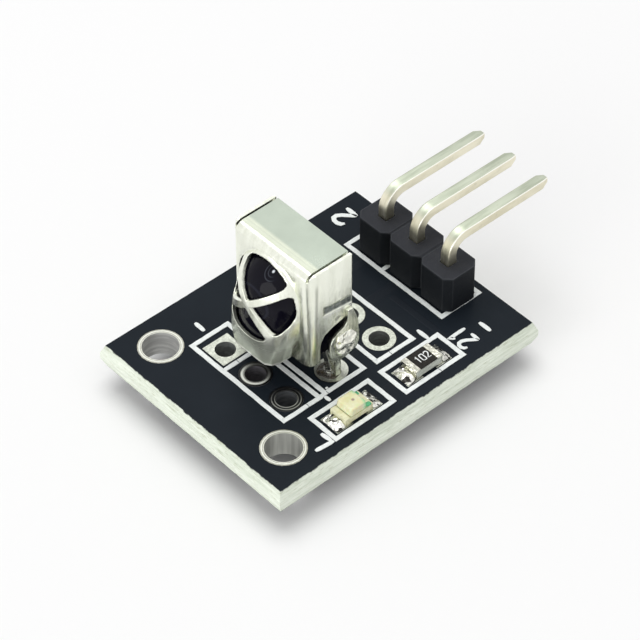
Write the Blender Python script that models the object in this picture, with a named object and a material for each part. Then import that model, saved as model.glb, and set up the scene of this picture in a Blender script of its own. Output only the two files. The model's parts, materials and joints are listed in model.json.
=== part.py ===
"""Infrared receiver module: a small black circuit board with a shielded receiver,
a bent three-pin header, a signal lamp and a resistor.

Metres, +Z up. The origin is the middle of the board's underside. +X points to the
header's end of the board, and the receiver's lens looks along -X.
"""
import math

import bmesh
import bpy
from mathutils import Vector

MM = 0.001

# General clearances and finenesses
GAP = 0.02 * MM                     # kept between pieces that rest on or in each other
ROUND_STEPS = 24                    # sides of a drilled hole
ARC_STEPS = 10                      # steps in a quarter of a large round form
FOLD_STEPS = 4                      # steps round a fold of the shield
FRONT_STEPS = 5                     # steps down the shield's swollen front
SMOOTH_ANGLE = 40                   # degrees; sharper edges stay crisp

# Board
BOARD_LENGTH = 19.2 * MM            # along X, over the snapped web
BOARD_WIDTH = 15.1 * MM             # along Y, over the snapped web
BOARD_THICKNESS = 1.6 * MM
SCORE_SLOPE = 0.25 * MM             # how far the faces stay inside the web
SCORE_WEB = 0.4 * MM                # thickness left between the two score grooves
CENTRE_Y = 0.06 * MM                # the rows lie slightly off the board's middle
LANDING_MARGIN = 0.1 * MM           # bare underside kept clear beside the pads

# Plated holes
PITCH = 2.54 * MM
PIN_COUNT = 3
COPPER = 0.05 * MM                  # plated wall and pad thickness
MOUNT_HOLE = 2.12 * MM
MOUNT_RING = 2.62 * MM
MOUNT_INSET = 2.45 * MM             # from the lens end of the board
MOUNT_EDGE = 2.425 * MM             # from the board's two long edges
EMPTY_HOLE = 1.2 * MM
LEAD_HOLE = 1.0 * MM
HEADER_HOLE = 1.15 * MM
ROW_RING = 1.9 * MM
SQUARE_PAD = 1.8 * MM
SPARE_ROW_STEP = 2.49 * MM          # from the mounting holes to the spare row
RECEIVER_ROW_STEP = 3.28 * MM       # from the spare row to the receiver's row
REAR_ROW_STEP = 3.57 * MM           # from the receiver's row to the rear row
HEADER_INSET = 2.2 * MM             # from the header's end of the board

# Through-hole joints
TAIL_DEPTH = 1.3 * MM               # pins and leads below the board
SOLDER_DEPTH = 0.95 * MM            # solder cones below the board
SOLDER_RIM = 0.06 * MM              # solder left round a pin's corners at a cone's end
SOLDER_HOLLOW = 0.35                # how far out a cone still is halfway down
CROWN_HEIGHT = 0.18 * MM            # solder standing out of the top of a lead's hole

# Header
HOUSING_DEPTH = 2.5 * MM            # along X
HOUSING_HEIGHT = 2.5 * MM
HOUSING_CHAMFER = 0.42 * MM
HOUSING_GROOVE = 0.1 * MM           # snap line across the top, between the units
PIN_SIZE = 0.64 * MM
PIN_HEIGHT = 4.2 * MM               # of the bent arm's middle over the board
PIN_REACH = 7.5 * MM                # from the pin's foot to its tip
PIN_BEND = 1.1 * MM                 # radius of the bend's middle line
PIN_TAPER = 0.5 * MM
PIN_TIP = 0.34 * MM
PIN_FOOT = 0.45 * MM                # width of the pin's lower end

# Receiver
LENS_RADIUS = 2.55 * MM             # of the shield's round front
LENS_AXIS_BACK = 0.8 * MM           # lens axis behind the shield's flat front
LENS_HEIGHT = 5.45 * MM             # of the dome's middle over the board
SHIELD_DEPTH = 3.1 * MM
SHIELD_WIDTH = 6.25 * MM
SHIELD_SLIP = 0.2 * MM              # the shield's middle towards +Y of the receiver's row
SHIELD_TOP = 8.3 * MM               # over the board
SHIELD_FOOT = 1.65 * MM             # over the board
SHIELD_SHEET = 0.2 * MM
SHIELD_BEND = 0.5 * MM              # outer radius of the folds round the front
SHIELD_SEAM = 0.12 * MM
SHIELD_AHEAD = 1.92 * MM            # flat front ahead of the receiver's row
SHIELD_SQUARE = 4.0                 # how much squarer than round the swollen front's foot is
FRONT_FOOT_HALF = 1.75 * MM         # half the width of the swollen front at its foot
FRONT_FOOT_AHEAD = 2.4 * MM         # its reach ahead of the lens axis there
WINDOW_RADIUS = 2.34 * MM
WINDOW_CORNER = 0.3 * MM
BAR_WIDTH = 0.42 * MM
BAR_ANGLES = (48, 145, 228, 325)    # of the cross's four arms, in degrees from +Y towards +Z
BODY_CLEARANCE = 0.08 * MM          # epoxy body inside the shield
BODY_FOOT_RISE = 0.25 * MM          # the body's underside over the shield's foot
LEAD_WIDTH = 0.5 * MM
LEAD_THICKNESS = 0.45 * MM
LEAD_LEAN = 0.35 * MM               # how far the outer two lean in to meet the body
LEAD_LEAN_FROM = 0.35 * MM          # heights over the board between which they lean
LEAD_LEAN_TO = 1.3 * MM
LEAD_ENTRY = 0.9 * MM               # length held in the epoxy

# Ground tab, cut out of the side of the shield and bent down to the board. The corners
# are (distance ahead of the shield's back, height over the board), in millimetres.
TAB_TAIL_WIDTH = 0.36 * MM
TAB_BACK = ((0.45, 4.5), (0.1, 4.5), (-0.16, 3.8), (-0.3, 3.25), (-0.34, 2.6),
            (-0.34, 1.8), (-0.15, 1.4), (0.3, 1.2), (0.7, 1.15))
TAB_FRONT = ((1.6, 1.4), (1.75, 1.75), (1.8, 2.15), (1.75, 2.6), (1.55, 3.0),
             (1.2, 3.25), (0.75, 3.42), (0.5, 3.7))
TAB_RELIEF = ((2.3, 2.6), (2.24, 3.1), (2.0, 3.5), (1.35, 3.75), (0.5, 3.95), (0.2, 3.95))
TAB_NECK = ((0.37, 4.08), (0.37, 4.42), (0.14, 4.42), (0.14, 4.08))     # joins it to the plate

# Surface-mounted parts
CHIP_LENGTH = 2.0 * MM
CHIP_WIDTH = 1.25 * MM
CHIP_ROW_INSET = 2.065 * MM         # frames' middle line from the board's long edge
LAMP_FRAME_X = -2.565 * MM
RESISTOR_FRAME_X = 2.63 * MM
PLACEMENT_SLIP_X = -0.12 * MM       # the chips sit slightly off their frames
PLACEMENT_SLIP_Y = -0.085 * MM
CHIP_PAD_LENGTH = 1.15 * MM
CHIP_PAD_WIDTH = 1.4 * MM
CHIP_PAD_SPAN = 3.3 * MM            # over both pads
TERMINAL_WRAP = 0.36 * MM
TERMINAL_SHEET = 0.05 * MM
LAMP_BASE_HEIGHT = 0.32 * MM
LAMP_LENS_LENGTH = 1.22 * MM
LAMP_LENS_HEIGHT = 0.5 * MM
LAMP_LENS_TAPER = 0.08 * MM
RESISTOR_HEIGHT = 0.45 * MM
RESISTOR_COAT = 0.05 * MM
FILLET_TOE = 0.12 * MM              # height of a chip's solder at its outer end

# Printed outlines
INK_WIDTH = 0.22 * MM
INK_THICKNESS = 0.03 * MM
INK_DIVIDER = 1.35 * MM             # from the middle pin to the first pin's divider
CHIP_FRAME_WIDTH = 2.06 * MM
LAMP_FRAME_LENGTH = 4.2 * MM
RESISTOR_FRAME_LENGTH = 4.26 * MM
# Outline margins round a row's end holes: towards -X, +X, -Y and +Y
SPARE_MARGINS = (1.20 * MM, 1.39 * MM, 1.17 * MM, 1.42 * MM)
RECEIVER_MARGINS = (1.45 * MM, 1.38 * MM, 1.12 * MM, 1.20 * MM)
REAR_MARGINS = (1.33 * MM, 1.34 * MM, 1.27 * MM, 1.30 * MM)
HEADER_MARGINS = (1.49 * MM, 1.38 * MM, 1.12 * MM, 1.67 * MM)

# Places that follow from the sizes above. The pads lie in openings as deep as the copper
# and stand a gap proud of the board.
TOP = BOARD_THICKNESS
PAD_TOP = TOP + GAP
PAD_BOTTOM = -GAP
HOUSING_SEAT = TOP + GAP + INK_THICKNESS + GAP
MOUNT_X = -BOARD_LENGTH / 2 + MOUNT_INSET
SPARE_X = MOUNT_X + SPARE_ROW_STEP
RECEIVER_X = SPARE_X + RECEIVER_ROW_STEP
REAR_X = RECEIVER_X + REAR_ROW_STEP
HEADER_X = BOARD_LENGTH / 2 - HEADER_INSET
ROW_HALF = (PIN_COUNT - 1) * PITCH / 2
CHIP_ROW_Y = -BOARD_WIDTH / 2 + CHIP_ROW_INSET
FRONT_X = RECEIVER_X - SHIELD_AHEAD
BACK_X = FRONT_X + SHIELD_DEPTH
SHIELD_Y = CENTRE_Y + SHIELD_SLIP
SIDE_Y = SHIELD_Y - SHIELD_WIDTH / 2
LENS_X = FRONT_X + LENS_AXIS_BACK
LENS_Z = TOP + LENS_HEIGHT
BODY_INSET = SHIELD_SHEET + BODY_CLEARANCE
BODY_FOOT = TOP + SHIELD_FOOT + BODY_FOOT_RISE


def row_places():
    """Y of each hole in a row, from the first pin at +Y to the last."""
    return [CENTRE_Y + ROW_HALF - i * PITCH for i in range(PIN_COUNT)]


def plated_holes():
    """Every plated hole: its ring's name, place, hole, ring and whether its pad is square."""
    apart = BOARD_WIDTH / 2 - MOUNT_EDGE
    holes = [("mounting_ring_1", (MOUNT_X, CENTRE_Y + apart), MOUNT_HOLE, MOUNT_RING, False),
             ("mounting_ring_2", (MOUNT_X, CENTRE_Y - apart), MOUNT_HOLE, MOUNT_RING, False)]
    for number, y in enumerate(row_places(), 1):
        first = number == 1
        holes += [
            (f"spare_ring_{number}", (SPARE_X, y), EMPTY_HOLE, SQUARE_PAD if first else ROW_RING, first),
            (f"receiver_ring_{number}", (RECEIVER_X, y), LEAD_HOLE, ROW_RING, False),
            (f"rear_ring_{number}", (REAR_X, y), EMPTY_HOLE, ROW_RING, False),
            (f"header_ring_{number}", (HEADER_X, y), HEADER_HOLE, ROW_RING, False),
        ]
    return holes


def chip_places():
    """The middles of the lamp and the resistor."""
    y = CHIP_ROW_Y + PLACEMENT_SLIP_Y
    return (LAMP_FRAME_X + PLACEMENT_SLIP_X, y), (RESISTOR_FRAME_X + PLACEMENT_SLIP_X, y)


def chip_pads(centre):
    """The low and high corners of a chip's two pads, in X and Y."""
    x, y = centre
    outer, half = CHIP_PAD_SPAN / 2, CHIP_PAD_WIDTH / 2
    inner = outer - CHIP_PAD_LENGTH
    return [((x - outer, y - half), (x - inner, y + half)), ((x + inner, y - half), (x + outer, y + half))]


def clear_scene():
    for old in list(bpy.data.objects):
        bpy.data.objects.remove(old, do_unlink=True)


def finish(name, colour, roughness, metallic=0.0, alpha=1.0):
    """A Principled material, made once for each name."""
    found = bpy.data.materials.get(name)
    if found:
        return found
    material = bpy.data.materials.new(name)
    material.use_nodes = True
    shader = material.node_tree.nodes["Principled BSDF"]
    shader.inputs["Base Color"].default_value = (*colour, 1.0)
    shader.inputs["Roughness"].default_value = roughness
    shader.inputs["Metallic"].default_value = metallic
    shader.inputs["Alpha"].default_value = alpha
    return material


def mask_black():
    return finish("solder_mask", (0.016, 0.019, 0.024), 0.3)


def tinned():
    return finish("tinned_copper", (0.66, 0.68, 0.62), 0.3, 1.0)


def solder_metal():
    return finish("solder", (0.62, 0.63, 0.58), 0.25, 1.0)


def white_ink():
    return finish("printing_ink", (0.8, 0.83, 0.8), 0.6)


def add_object(name, bm, material, smooth=False):
    """Make one object from a bmesh, with its faces turned outwards."""
    bmesh.ops.recalc_face_normals(bm, faces=bm.faces)
    mesh = bpy.data.meshes.new(name)
    bm.to_mesh(mesh)
    bm.free()
    if smooth:
        mesh.shade_smooth()
        mesh.set_sharp_from_angle(angle=math.radians(SMOOTH_ANGLE))
    made = bpy.data.objects.new(name, mesh)
    made.data.materials.append(material)
    bpy.context.scene.collection.objects.link(made)
    return made


def combine(target, bm, name, operation):
    """Cut a shape out of an object, or join it on, as a Boolean modifier."""
    tool = add_object(name, bm, mask_black())
    tool.hide_render = True
    tool.display_type = "WIRE"
    step = target.modifiers.new(name, "BOOLEAN")
    step.operation = operation
    step.solver = "EXACT"
    step.object = tool
    return tool


def cut(target, bm, name):
    return combine(target, bm, name, "DIFFERENCE")


def join(target, bm, name):
    return combine(target, bm, name, "UNION")


def add_box(bm, low, high):
    """A box between two corners; gives its corner vertices."""
    corners = [bm.verts.new((x, y, z)) for z in (low[2], high[2])
               for y in (low[1], high[1]) for x in (low[0], high[0])]
    for face in ((0, 1, 3, 2), (4, 6, 7, 5), (0, 4, 5, 1), (2, 3, 7, 6), (0, 2, 6, 4), (1, 5, 7, 3)):
        bm.faces.new([corners[i] for i in face])
    return corners


def add_prism(bm, outline, axis, low, high):
    """An outline pushed along an axis. Its points are the other two axes, in order."""
    def place(point, along):
        spot = list(point)
        spot.insert(axis, along)
        return bm.verts.new(spot)

    near = [place(point, low) for point in outline]
    far = [place(point, high) for point in outline]
    bm.faces.new(near[::-1])
    bm.faces.new(far)
    for i in range(len(outline)):
        j = (i + 1) % len(outline)
        bm.faces.new((near[i], near[j], far[j], far[i]))


def add_rings(bm, rings):
    """Walls between matching closed loops of points, with both ends closed."""
    loops = [[bm.verts.new(point) for point in ring] for ring in rings]
    bm.faces.new(loops[0][::-1])
    bm.faces.new(loops[-1])
    for lower, upper in zip(loops, loops[1:]):
        for i in range(len(lower)):
            j = (i + 1) % len(lower)
            bm.faces.new((lower[i], lower[j], upper[j], upper[i]))
    return loops


def circle(centre, radius, z, steps=ROUND_STEPS):
    turns = [math.tau * i / steps for i in range(steps)]
    return [(centre[0] + radius * math.cos(a), centre[1] + radius * math.sin(a), z) for a in turns]


def rectangle(centre, half_x, half_y, z):
    x, y = centre
    return [(x - half_x, y - half_y, z), (x + half_x, y - half_y, z),
            (x + half_x, y + half_y, z), (x - half_x, y + half_y, z)]


def build_board():
    half_x, half_y = BOARD_LENGTH / 2, BOARD_WIDTH / 2
    groove = (BOARD_THICKNESS - SCORE_WEB) / 2
    bm = bmesh.new()
    loops = add_rings(bm, [
        rectangle((0, 0), half_x - SCORE_SLOPE, half_y - SCORE_SLOPE, 0),
        rectangle((0, 0), half_x, half_y, groove),
        rectangle((0, 0), half_x, half_y, groove + SCORE_WEB),
        rectangle((0, 0), half_x - SCORE_SLOPE, half_y - SCORE_SLOPE, TOP),
    ])
    add_landing(bm, loops[0])
    board = add_object("circuit_board", bm, mask_black())
    bm = bmesh.new()
    floor = TOP - COPPER
    for _, centre, hole, ring, square in plated_holes():
        wall = hole / 2 + COPPER + GAP
        opening = ring + 2 * GAP
        add_rings(bm, [
            pad_edge(centre, opening, square, -TOP), pad_edge(centre, opening, square, COPPER),
            circle(centre, wall, COPPER), circle(centre, wall, floor),
            pad_edge(centre, opening, square, floor), pad_edge(centre, opening, square, 2 * TOP),
        ])
    cut(board, bm, "board_holes")
    bm = bmesh.new()
    for centre in chip_places():
        for low, high in chip_pads(centre):
            add_box(bm, (low[0] - GAP, low[1] - GAP, floor), (high[0] + GAP, high[1] + GAP, 2 * TOP))
    cut(board, bm, "board_openings")


def add_landing(bm, loop):
    """Part the underside into a border and a plain landing between two rows of pads."""
    bm.faces.remove(bm.faces.get(loop))
    reach = ROW_RING / 2 + LANDING_MARGIN
    middle, half = (RECEIVER_X + REAR_X) / 2, (REAR_X - RECEIVER_X) / 2 - reach
    inner = [bm.verts.new(point) for point in rectangle((middle, CENTRE_Y), half, ROW_HALF, loop[0].co.z)]
    bm.faces.new(inner)
    for i in range(len(loop)):
        j = (i + 1) % len(loop)
        bm.faces.new((loop[i], loop[j], inner[j], inner[i]))


def pad_edge(centre, ring, square, z):
    """The edge of a round or square pad, with a point for each side of its hole."""
    points = []
    for i in range(ROUND_STEPS):
        across, up = math.cos(math.tau * i / ROUND_STEPS), math.sin(math.tau * i / ROUND_STEPS)
        reach = ring / 2 / (max(abs(across), abs(up)) if square else 1)
        points.append((centre[0] + reach * across, centre[1] + reach * up, z))
    return points


def build_plating(name, centre, hole, ring, square):
    """A plated hole: a thin tube with a pad on each face of the board."""
    inner = hole / 2
    wall = inner + COPPER
    low, high = PAD_BOTTOM + COPPER, PAD_TOP - COPPER
    loops = [circle(centre, inner, PAD_BOTTOM), pad_edge(centre, ring, square, PAD_BOTTOM),
             pad_edge(centre, ring, square, low), circle(centre, wall, low),
             circle(centre, wall, high), pad_edge(centre, ring, square, high),
             pad_edge(centre, ring, square, PAD_TOP), circle(centre, inner, PAD_TOP)]
    bm = bmesh.new()
    loops = [[bm.verts.new(point) for point in loop] for loop in loops]
    for k, loop in enumerate(loops):
        other = loops[k - 1]
        for i in range(ROUND_STEPS):
            j = (i + 1) % ROUND_STEPS
            bm.faces.new((loop[i], loop[j], other[j], other[i]))
    add_object(name, bm, tinned(), smooth=True)


def build_joint(name, centre, hole, half_x, half_y, crown):
    """Solder round a pin or lead: it fills the plated hole and makes a cone below."""
    x, y = centre
    reach_x, reach_y = half_x + GAP, half_y + GAP
    bore = hole / 2 - GAP
    foot = PAD_BOTTOM - GAP
    toe = ROW_RING / 2 - COPPER
    tip = math.hypot(reach_x, reach_y) + SOLDER_RIM
    top = PAD_TOP + crown
    sides = [(tip, -SOLDER_DEPTH), (tip + SOLDER_HOLLOW * (toe - tip), -SOLDER_DEPTH / 2),
             (toe, foot - COPPER), (toe, foot), (bore, foot)]
    sides += [(bore, PAD_TOP), (tip, top)] if crown else [(bore, TOP)]
    bm = bmesh.new()
    add_rings(bm, [circle(centre, radius, z) for radius, z in sides])
    joint = add_object(name, bm, solder_metal(), smooth=True)
    bm = bmesh.new()
    add_box(bm, (x - reach_x, y - reach_y, -TAIL_DEPTH), (x + reach_x, y + reach_y, top + TOP))
    cut(joint, bm, f"{name}_bore")
    return joint


def housing_outline():
    """Three eight-sided units side by side, seen from above."""
    half = HOUSING_DEPTH / 2
    neck = half - HOUSING_CHAMFER
    edge = PITCH / 2 - HOUSING_CHAMFER
    corners = [(row_places()[0] + PITCH / 2, neck)]
    for y in row_places():
        corners += [(y + edge, half), (y - edge, half), (y - PITCH / 2, neck)]
    west = [(HEADER_X - reach, y) for y, reach in corners]
    east = [(HEADER_X + reach, y) for y, reach in corners]
    return west + east[::-1]


def build_housing():
    top = HOUSING_SEAT + HOUSING_HEIGHT
    bm = bmesh.new()
    add_prism(bm, housing_outline(), 2, HOUSING_SEAT, top)
    housing = add_object("header_housing", bm, finish("header_plastic", (0.022, 0.024, 0.027), 0.5))
    bm = bmesh.new()
    half = PIN_SIZE / 2 + GAP
    for y in row_places():
        add_box(bm, (HEADER_X - half, y - half, 0), (HEADER_X + half, y + half, top + HOUSING_HEIGHT))
    cut(housing, bm, "housing_bores")
    bm = bmesh.new()
    for y in row_places()[1:]:
        line = y + PITCH / 2
        groove = [(line, top - HOUSING_GROOVE), (line + 2 * HOUSING_GROOVE, top + HOUSING_GROOVE),
                  (line - 2 * HOUSING_GROOVE, top + HOUSING_GROOVE)]
        add_prism(bm, groove, 0, HEADER_X - HOUSING_DEPTH, HEADER_X + HOUSING_DEPTH)
    cut(housing, bm, "housing_grooves")


def pin_path():
    """Middle line of a bent pin in the XZ plane: (x, z, lean from upright, half size)."""
    half = PIN_SIZE / 2
    arm = TOP + PIN_HEIGHT
    end = HEADER_X + PIN_REACH
    path = [(HEADER_X, -TAIL_DEPTH, 0, PIN_FOOT / 2), (HEADER_X, half - TAIL_DEPTH, 0, half)]
    for i in range(ARC_STEPS + 1):
        lean = math.pi / 2 * i / ARC_STEPS
        x = HEADER_X + PIN_BEND * (1 - math.cos(lean))
        z = arm - PIN_BEND * (1 - math.sin(lean))
        path.append((x, z, lean, half))
    path.append((end - PIN_TAPER, arm, math.pi / 2, half))
    path.append((end, arm, math.pi / 2, PIN_TIP / 2))
    return path


def build_pins():
    metal = finish("pin_plating", (0.62, 0.58, 0.44), 0.28, 1.0)
    for number, y in enumerate(row_places(), 1):
        rings = []
        for x, z, lean, half in pin_path():
            side = Vector((math.cos(lean), 0, -math.sin(lean)))
            middle = Vector((x, y, z))
            across = Vector((0, half, 0))
            rings.append([middle - side * half - across, middle + side * half - across,
                          middle + side * half + across, middle - side * half + across])
        bm = bmesh.new()
        add_rings(bm, rings)
        add_object(f"header_pin_{number}", bm, metal, smooth=True)
        build_joint(f"header_solder_{number}", (HEADER_X, y), HEADER_HOLE, PIN_SIZE / 2, PIN_SIZE / 2, 0)


def on_front(turn, radius, z):
    """A corner of the swollen front: round at the lens, narrower and squarer at the foot."""
    fall = min(1.0, max(0.0, (LENS_Z - z) / (LENS_HEIGHT - SHIELD_FOOT))) ** 2
    power = 2 + SHIELD_SQUARE * fall
    across = radius - (LENS_RADIUS - FRONT_FOOT_HALF) * fall
    ahead = radius - (LENS_RADIUS - FRONT_FOOT_AHEAD) * fall
    reach = (abs(math.cos(turn) / ahead) ** power + abs(math.sin(turn) / across) ** power) ** (-1 / power)
    return LENS_X + reach * math.cos(turn), SHIELD_Y + reach * math.sin(turn), z


def add_round_front(bm, inset, foot):
    """Half a round post with a domed top: the swollen front of the shield or the lens."""
    radius = LENS_RADIUS - inset
    profile = [(radius * math.sin(a), LENS_Z + radius * math.cos(a))
               for a in (math.pi / 2 * i / ARC_STEPS for i in range(1, ARC_STEPS + 1))]
    levels = [LENS_Z - (LENS_HEIGHT - SHIELD_FOOT) * k / FRONT_STEPS for k in range(1, FRONT_STEPS + 1)]
    profile += [(radius, z) for z in levels if z > foot + SHIELD_SHEET] + [(radius, foot)]
    pole = bm.verts.new((LENS_X, SHIELD_Y, LENS_Z + radius))
    base = bm.verts.new((LENS_X, SHIELD_Y, foot))
    steps = 2 * ARC_STEPS
    ribs = []
    for i in range(steps + 1):
        turn = math.pi / 2 + math.pi * i / steps
        ribs.append([bm.verts.new(on_front(turn, r, z)) for r, z in profile])
    for left, right in zip(ribs, ribs[1:]):
        bm.faces.new((pole, left[0], right[0]))
        bm.faces.new((base, right[-1], left[-1]))
        for k in range(len(profile) - 1):
            bm.faces.new((left[k], left[k + 1], right[k + 1], right[k]))
    bm.faces.new([pole] + ribs[-1] + [base] + ribs[0][::-1])


def add_case_box(bm, inset, foot):
    """The shield's box, shrunk by an inset, with its front top and front corners rounded."""
    half = SHIELD_WIDTH / 2 - inset
    low = (FRONT_X + inset, SHIELD_Y - half, foot)
    high = (BACK_X - inset, SHIELD_Y + half, TOP + SHIELD_TOP - inset)
    corners = add_box(bm, low, high)
    front = [corner for corner in corners if corner.co.x < LENS_X]
    foot_pair = {corner for corner in front if corner.co.z < LENS_Z}
    folds = [edge for edge in bm.edges if edge.verts[0] in front and edge.verts[1] in front
             and not set(edge.verts) <= foot_pair]
    bmesh.ops.bevel(bm, geom=folds, offset=SHIELD_BEND - inset, segments=FOLD_STEPS, profile=0.5, affect="EDGES")


def window_outline(first, last):
    """One window of the crossed front: the part of a circle between two of the arms."""
    half, corner = BAR_WIDTH / 2, WINDOW_CORNER
    edge = math.asin(half / WINDOW_RADIUS)
    middle, spread = (first + last) / 2, (last - first) / 2

    def on_rim(angle):
        return Vector((WINDOW_RADIUS * math.cos(angle), WINDOW_RADIUS * math.sin(angle)))

    apex = Vector((math.cos(middle), math.sin(middle))) * half / math.sin(spread)
    start, end = first + edge, last - edge
    slip = corner / WINDOW_RADIUS
    points = [apex]
    for near, inner in ((start, start + slip), (end, end - slip)):
        tip = on_rim(near)
        along = tip + (apex - tip).normalized() * corner
        rounded = [along * (1 - t) ** 2 + tip * 2 * t * (1 - t) + on_rim(inner) * t ** 2 for t in (0, 0.35, 0.7)]
        if near == end:
            sweep = end - start - 2 * slip
            points += [on_rim(start + slip + sweep * i / ARC_STEPS) for i in range(ARC_STEPS + 1)]
            rounded.reverse()
        points += rounded
    return [(SHIELD_Y + point.x, LENS_Z + point.y) for point in points]


def from_back(corners):
    """Corners measured ahead of the shield's back and over the board, as (x, z)."""
    return [(BACK_X - ahead * MM, TOP + height * MM) for ahead, height in corners]


def tab_outline():
    """The ground tab from the side: a round paddle that narrows to a tail on the board."""
    low, high = RECEIVER_X - TAB_TAIL_WIDTH / 2, RECEIVER_X + TAB_TAIL_WIDTH / 2
    back, front = from_back(TAB_BACK), from_back(TAB_FRONT)
    foot = PAD_TOP + GAP
    return back + [(high, back[-1][1]), (high, foot), (low, foot), (low, back[-1][1])] + front


def seam_outline():
    """The slit that parts a side plate from the roof and the back, seen from the side.

    Its front end runs down over the fold at the front.
    """
    roof = TOP + SHIELD_TOP
    over, under = roof + SHIELD_SHEET, roof - 2 * SHIELD_SHEET
    behind, inside = BACK_X + SHIELD_SHEET, BACK_X - 2 * SHIELD_SHEET
    start = FRONT_X - SHIELD_SHEET
    return [(start, over), (behind, over), (behind, 0), (inside, 0), (inside, under), (start, under)]


def relief_outline():
    """The opening in the side plate behind the ground tab."""
    corners = from_back(TAB_RELIEF)
    behind, below = BACK_X + SHIELD_SHEET, -SHIELD_SHEET
    return [(behind, below), (corners[0][0], below)] + corners + [(behind, corners[-1][1])]


def build_shield():
    foot = TOP + SHIELD_FOOT
    inner = SHIELD_WIDTH / 2 - SHIELD_SHEET
    bm = bmesh.new()
    add_case_box(bm, 0, foot)
    sheet = finish("tinned_sheet", (0.7, 0.73, 0.66), 0.22, 1.0)
    shield = add_object("receiver_shield", bm, sheet, smooth=True)
    bm = bmesh.new()
    add_round_front(bm, 0, foot)
    join(shield, bm, "shield_front")
    bm = bmesh.new()
    add_prism(bm, tab_outline(), 1, SIDE_Y - SHIELD_SHEET, SIDE_Y - GAP)
    join(shield, bm, "ground_tab")
    bm = bmesh.new()
    add_prism(bm, from_back(TAB_NECK), 1, SIDE_Y - SHIELD_SHEET / 2, SIDE_Y + SHIELD_SHEET / 2)
    join(shield, bm, "ground_tab_neck")
    bm = bmesh.new()
    add_case_box(bm, SHIELD_SHEET, 0)
    hollow = cut(shield, bm, "shield_hollow")
    bm = bmesh.new()
    add_round_front(bm, SHIELD_SHEET, 0)
    join(hollow, bm, "shield_front_hollow")
    bm = bmesh.new()
    arms = [math.radians(angle) for angle in BAR_ANGLES]
    for first, last in zip(arms, arms[1:] + [arms[0] + math.tau]):
        add_prism(bm, window_outline(first, last), 0, FRONT_X - LENS_RADIUS, LENS_X - 1.5 * SHIELD_SHEET)
    join(hollow, bm, "shield_windows")
    bm = bmesh.new()
    for low, high in ((inner - SHIELD_SEAM, inner + GAP), (-inner - GAP, SHIELD_SEAM - inner)):
        add_prism(bm, seam_outline(), 1, SHIELD_Y + low, SHIELD_Y + high)
    join(hollow, bm, "shield_seams")
    bm = bmesh.new()
    add_prism(bm, relief_outline(), 1, SIDE_Y - GAP / 2, SIDE_Y + SHIELD_SHEET + 2 * GAP)
    join(hollow, bm, "shield_relief")


def lead_lean(y):
    """How far a leg is moved over where it enters the body; the middle one is straight."""
    return (CENTRE_Y - y) / ROW_HALF * LEAD_LEAN


def build_receiver_body():
    """One casting of dark epoxy: a block with the lens on its front."""
    bm = bmesh.new()
    add_case_box(bm, BODY_INSET, BODY_FOOT)
    body = add_object("receiver_body", bm, finish("dark_epoxy", (0.012, 0.011, 0.016), 0.12), smooth=True)
    bm = bmesh.new()
    add_round_front(bm, BODY_INSET, BODY_FOOT)
    join(body, bm, "body_lens")
    bm = bmesh.new()
    half = LEAD_WIDTH / 2 + GAP
    thick = LEAD_THICKNESS / 2 + GAP
    top = BODY_FOOT + LEAD_ENTRY + GAP
    for y in row_places():
        middle = y + lead_lean(y)
        add_box(bm, (RECEIVER_X - thick, middle - half, TOP), (RECEIVER_X + thick, middle + half, top))
    cut(body, bm, "body_sockets")


def build_leads():
    half, thick = LEAD_WIDTH / 2, LEAD_THICKNESS / 2
    levels = (-TAIL_DEPTH, TOP + LEAD_LEAN_FROM, TOP + LEAD_LEAN_TO, BODY_FOOT + LEAD_ENTRY)
    for number, y in enumerate(row_places(), 1):
        middles = (y, y, y + lead_lean(y), y + lead_lean(y))
        near = [(middle - half, z) for middle, z in zip(middles, levels)]
        far = [(middle + half, z) for middle, z in zip(middles, levels)]
        bm = bmesh.new()
        add_prism(bm, near + far[::-1], 0, RECEIVER_X - thick, RECEIVER_X + thick)
        add_object(f"receiver_lead_{number}", bm, tinned())
        joint = build_joint(f"receiver_solder_{number}", (RECEIVER_X, y), LEAD_HOLE, thick, half, CROWN_HEIGHT)
        if y == min(row_places()):
            cut_tail_notch(joint)


def cut_tail_notch(joint):
    """Keep the ground tab's tail clear of the solder beside it."""
    half = TAB_TAIL_WIDTH / 2 + GAP
    bm = bmesh.new()
    add_box(bm, (RECEIVER_X - half, SIDE_Y - 2 * SHIELD_SHEET, TOP), (RECEIVER_X + half, SIDE_Y, 2 * TOP))
    cut(joint, bm, "tail_notch")


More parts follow.
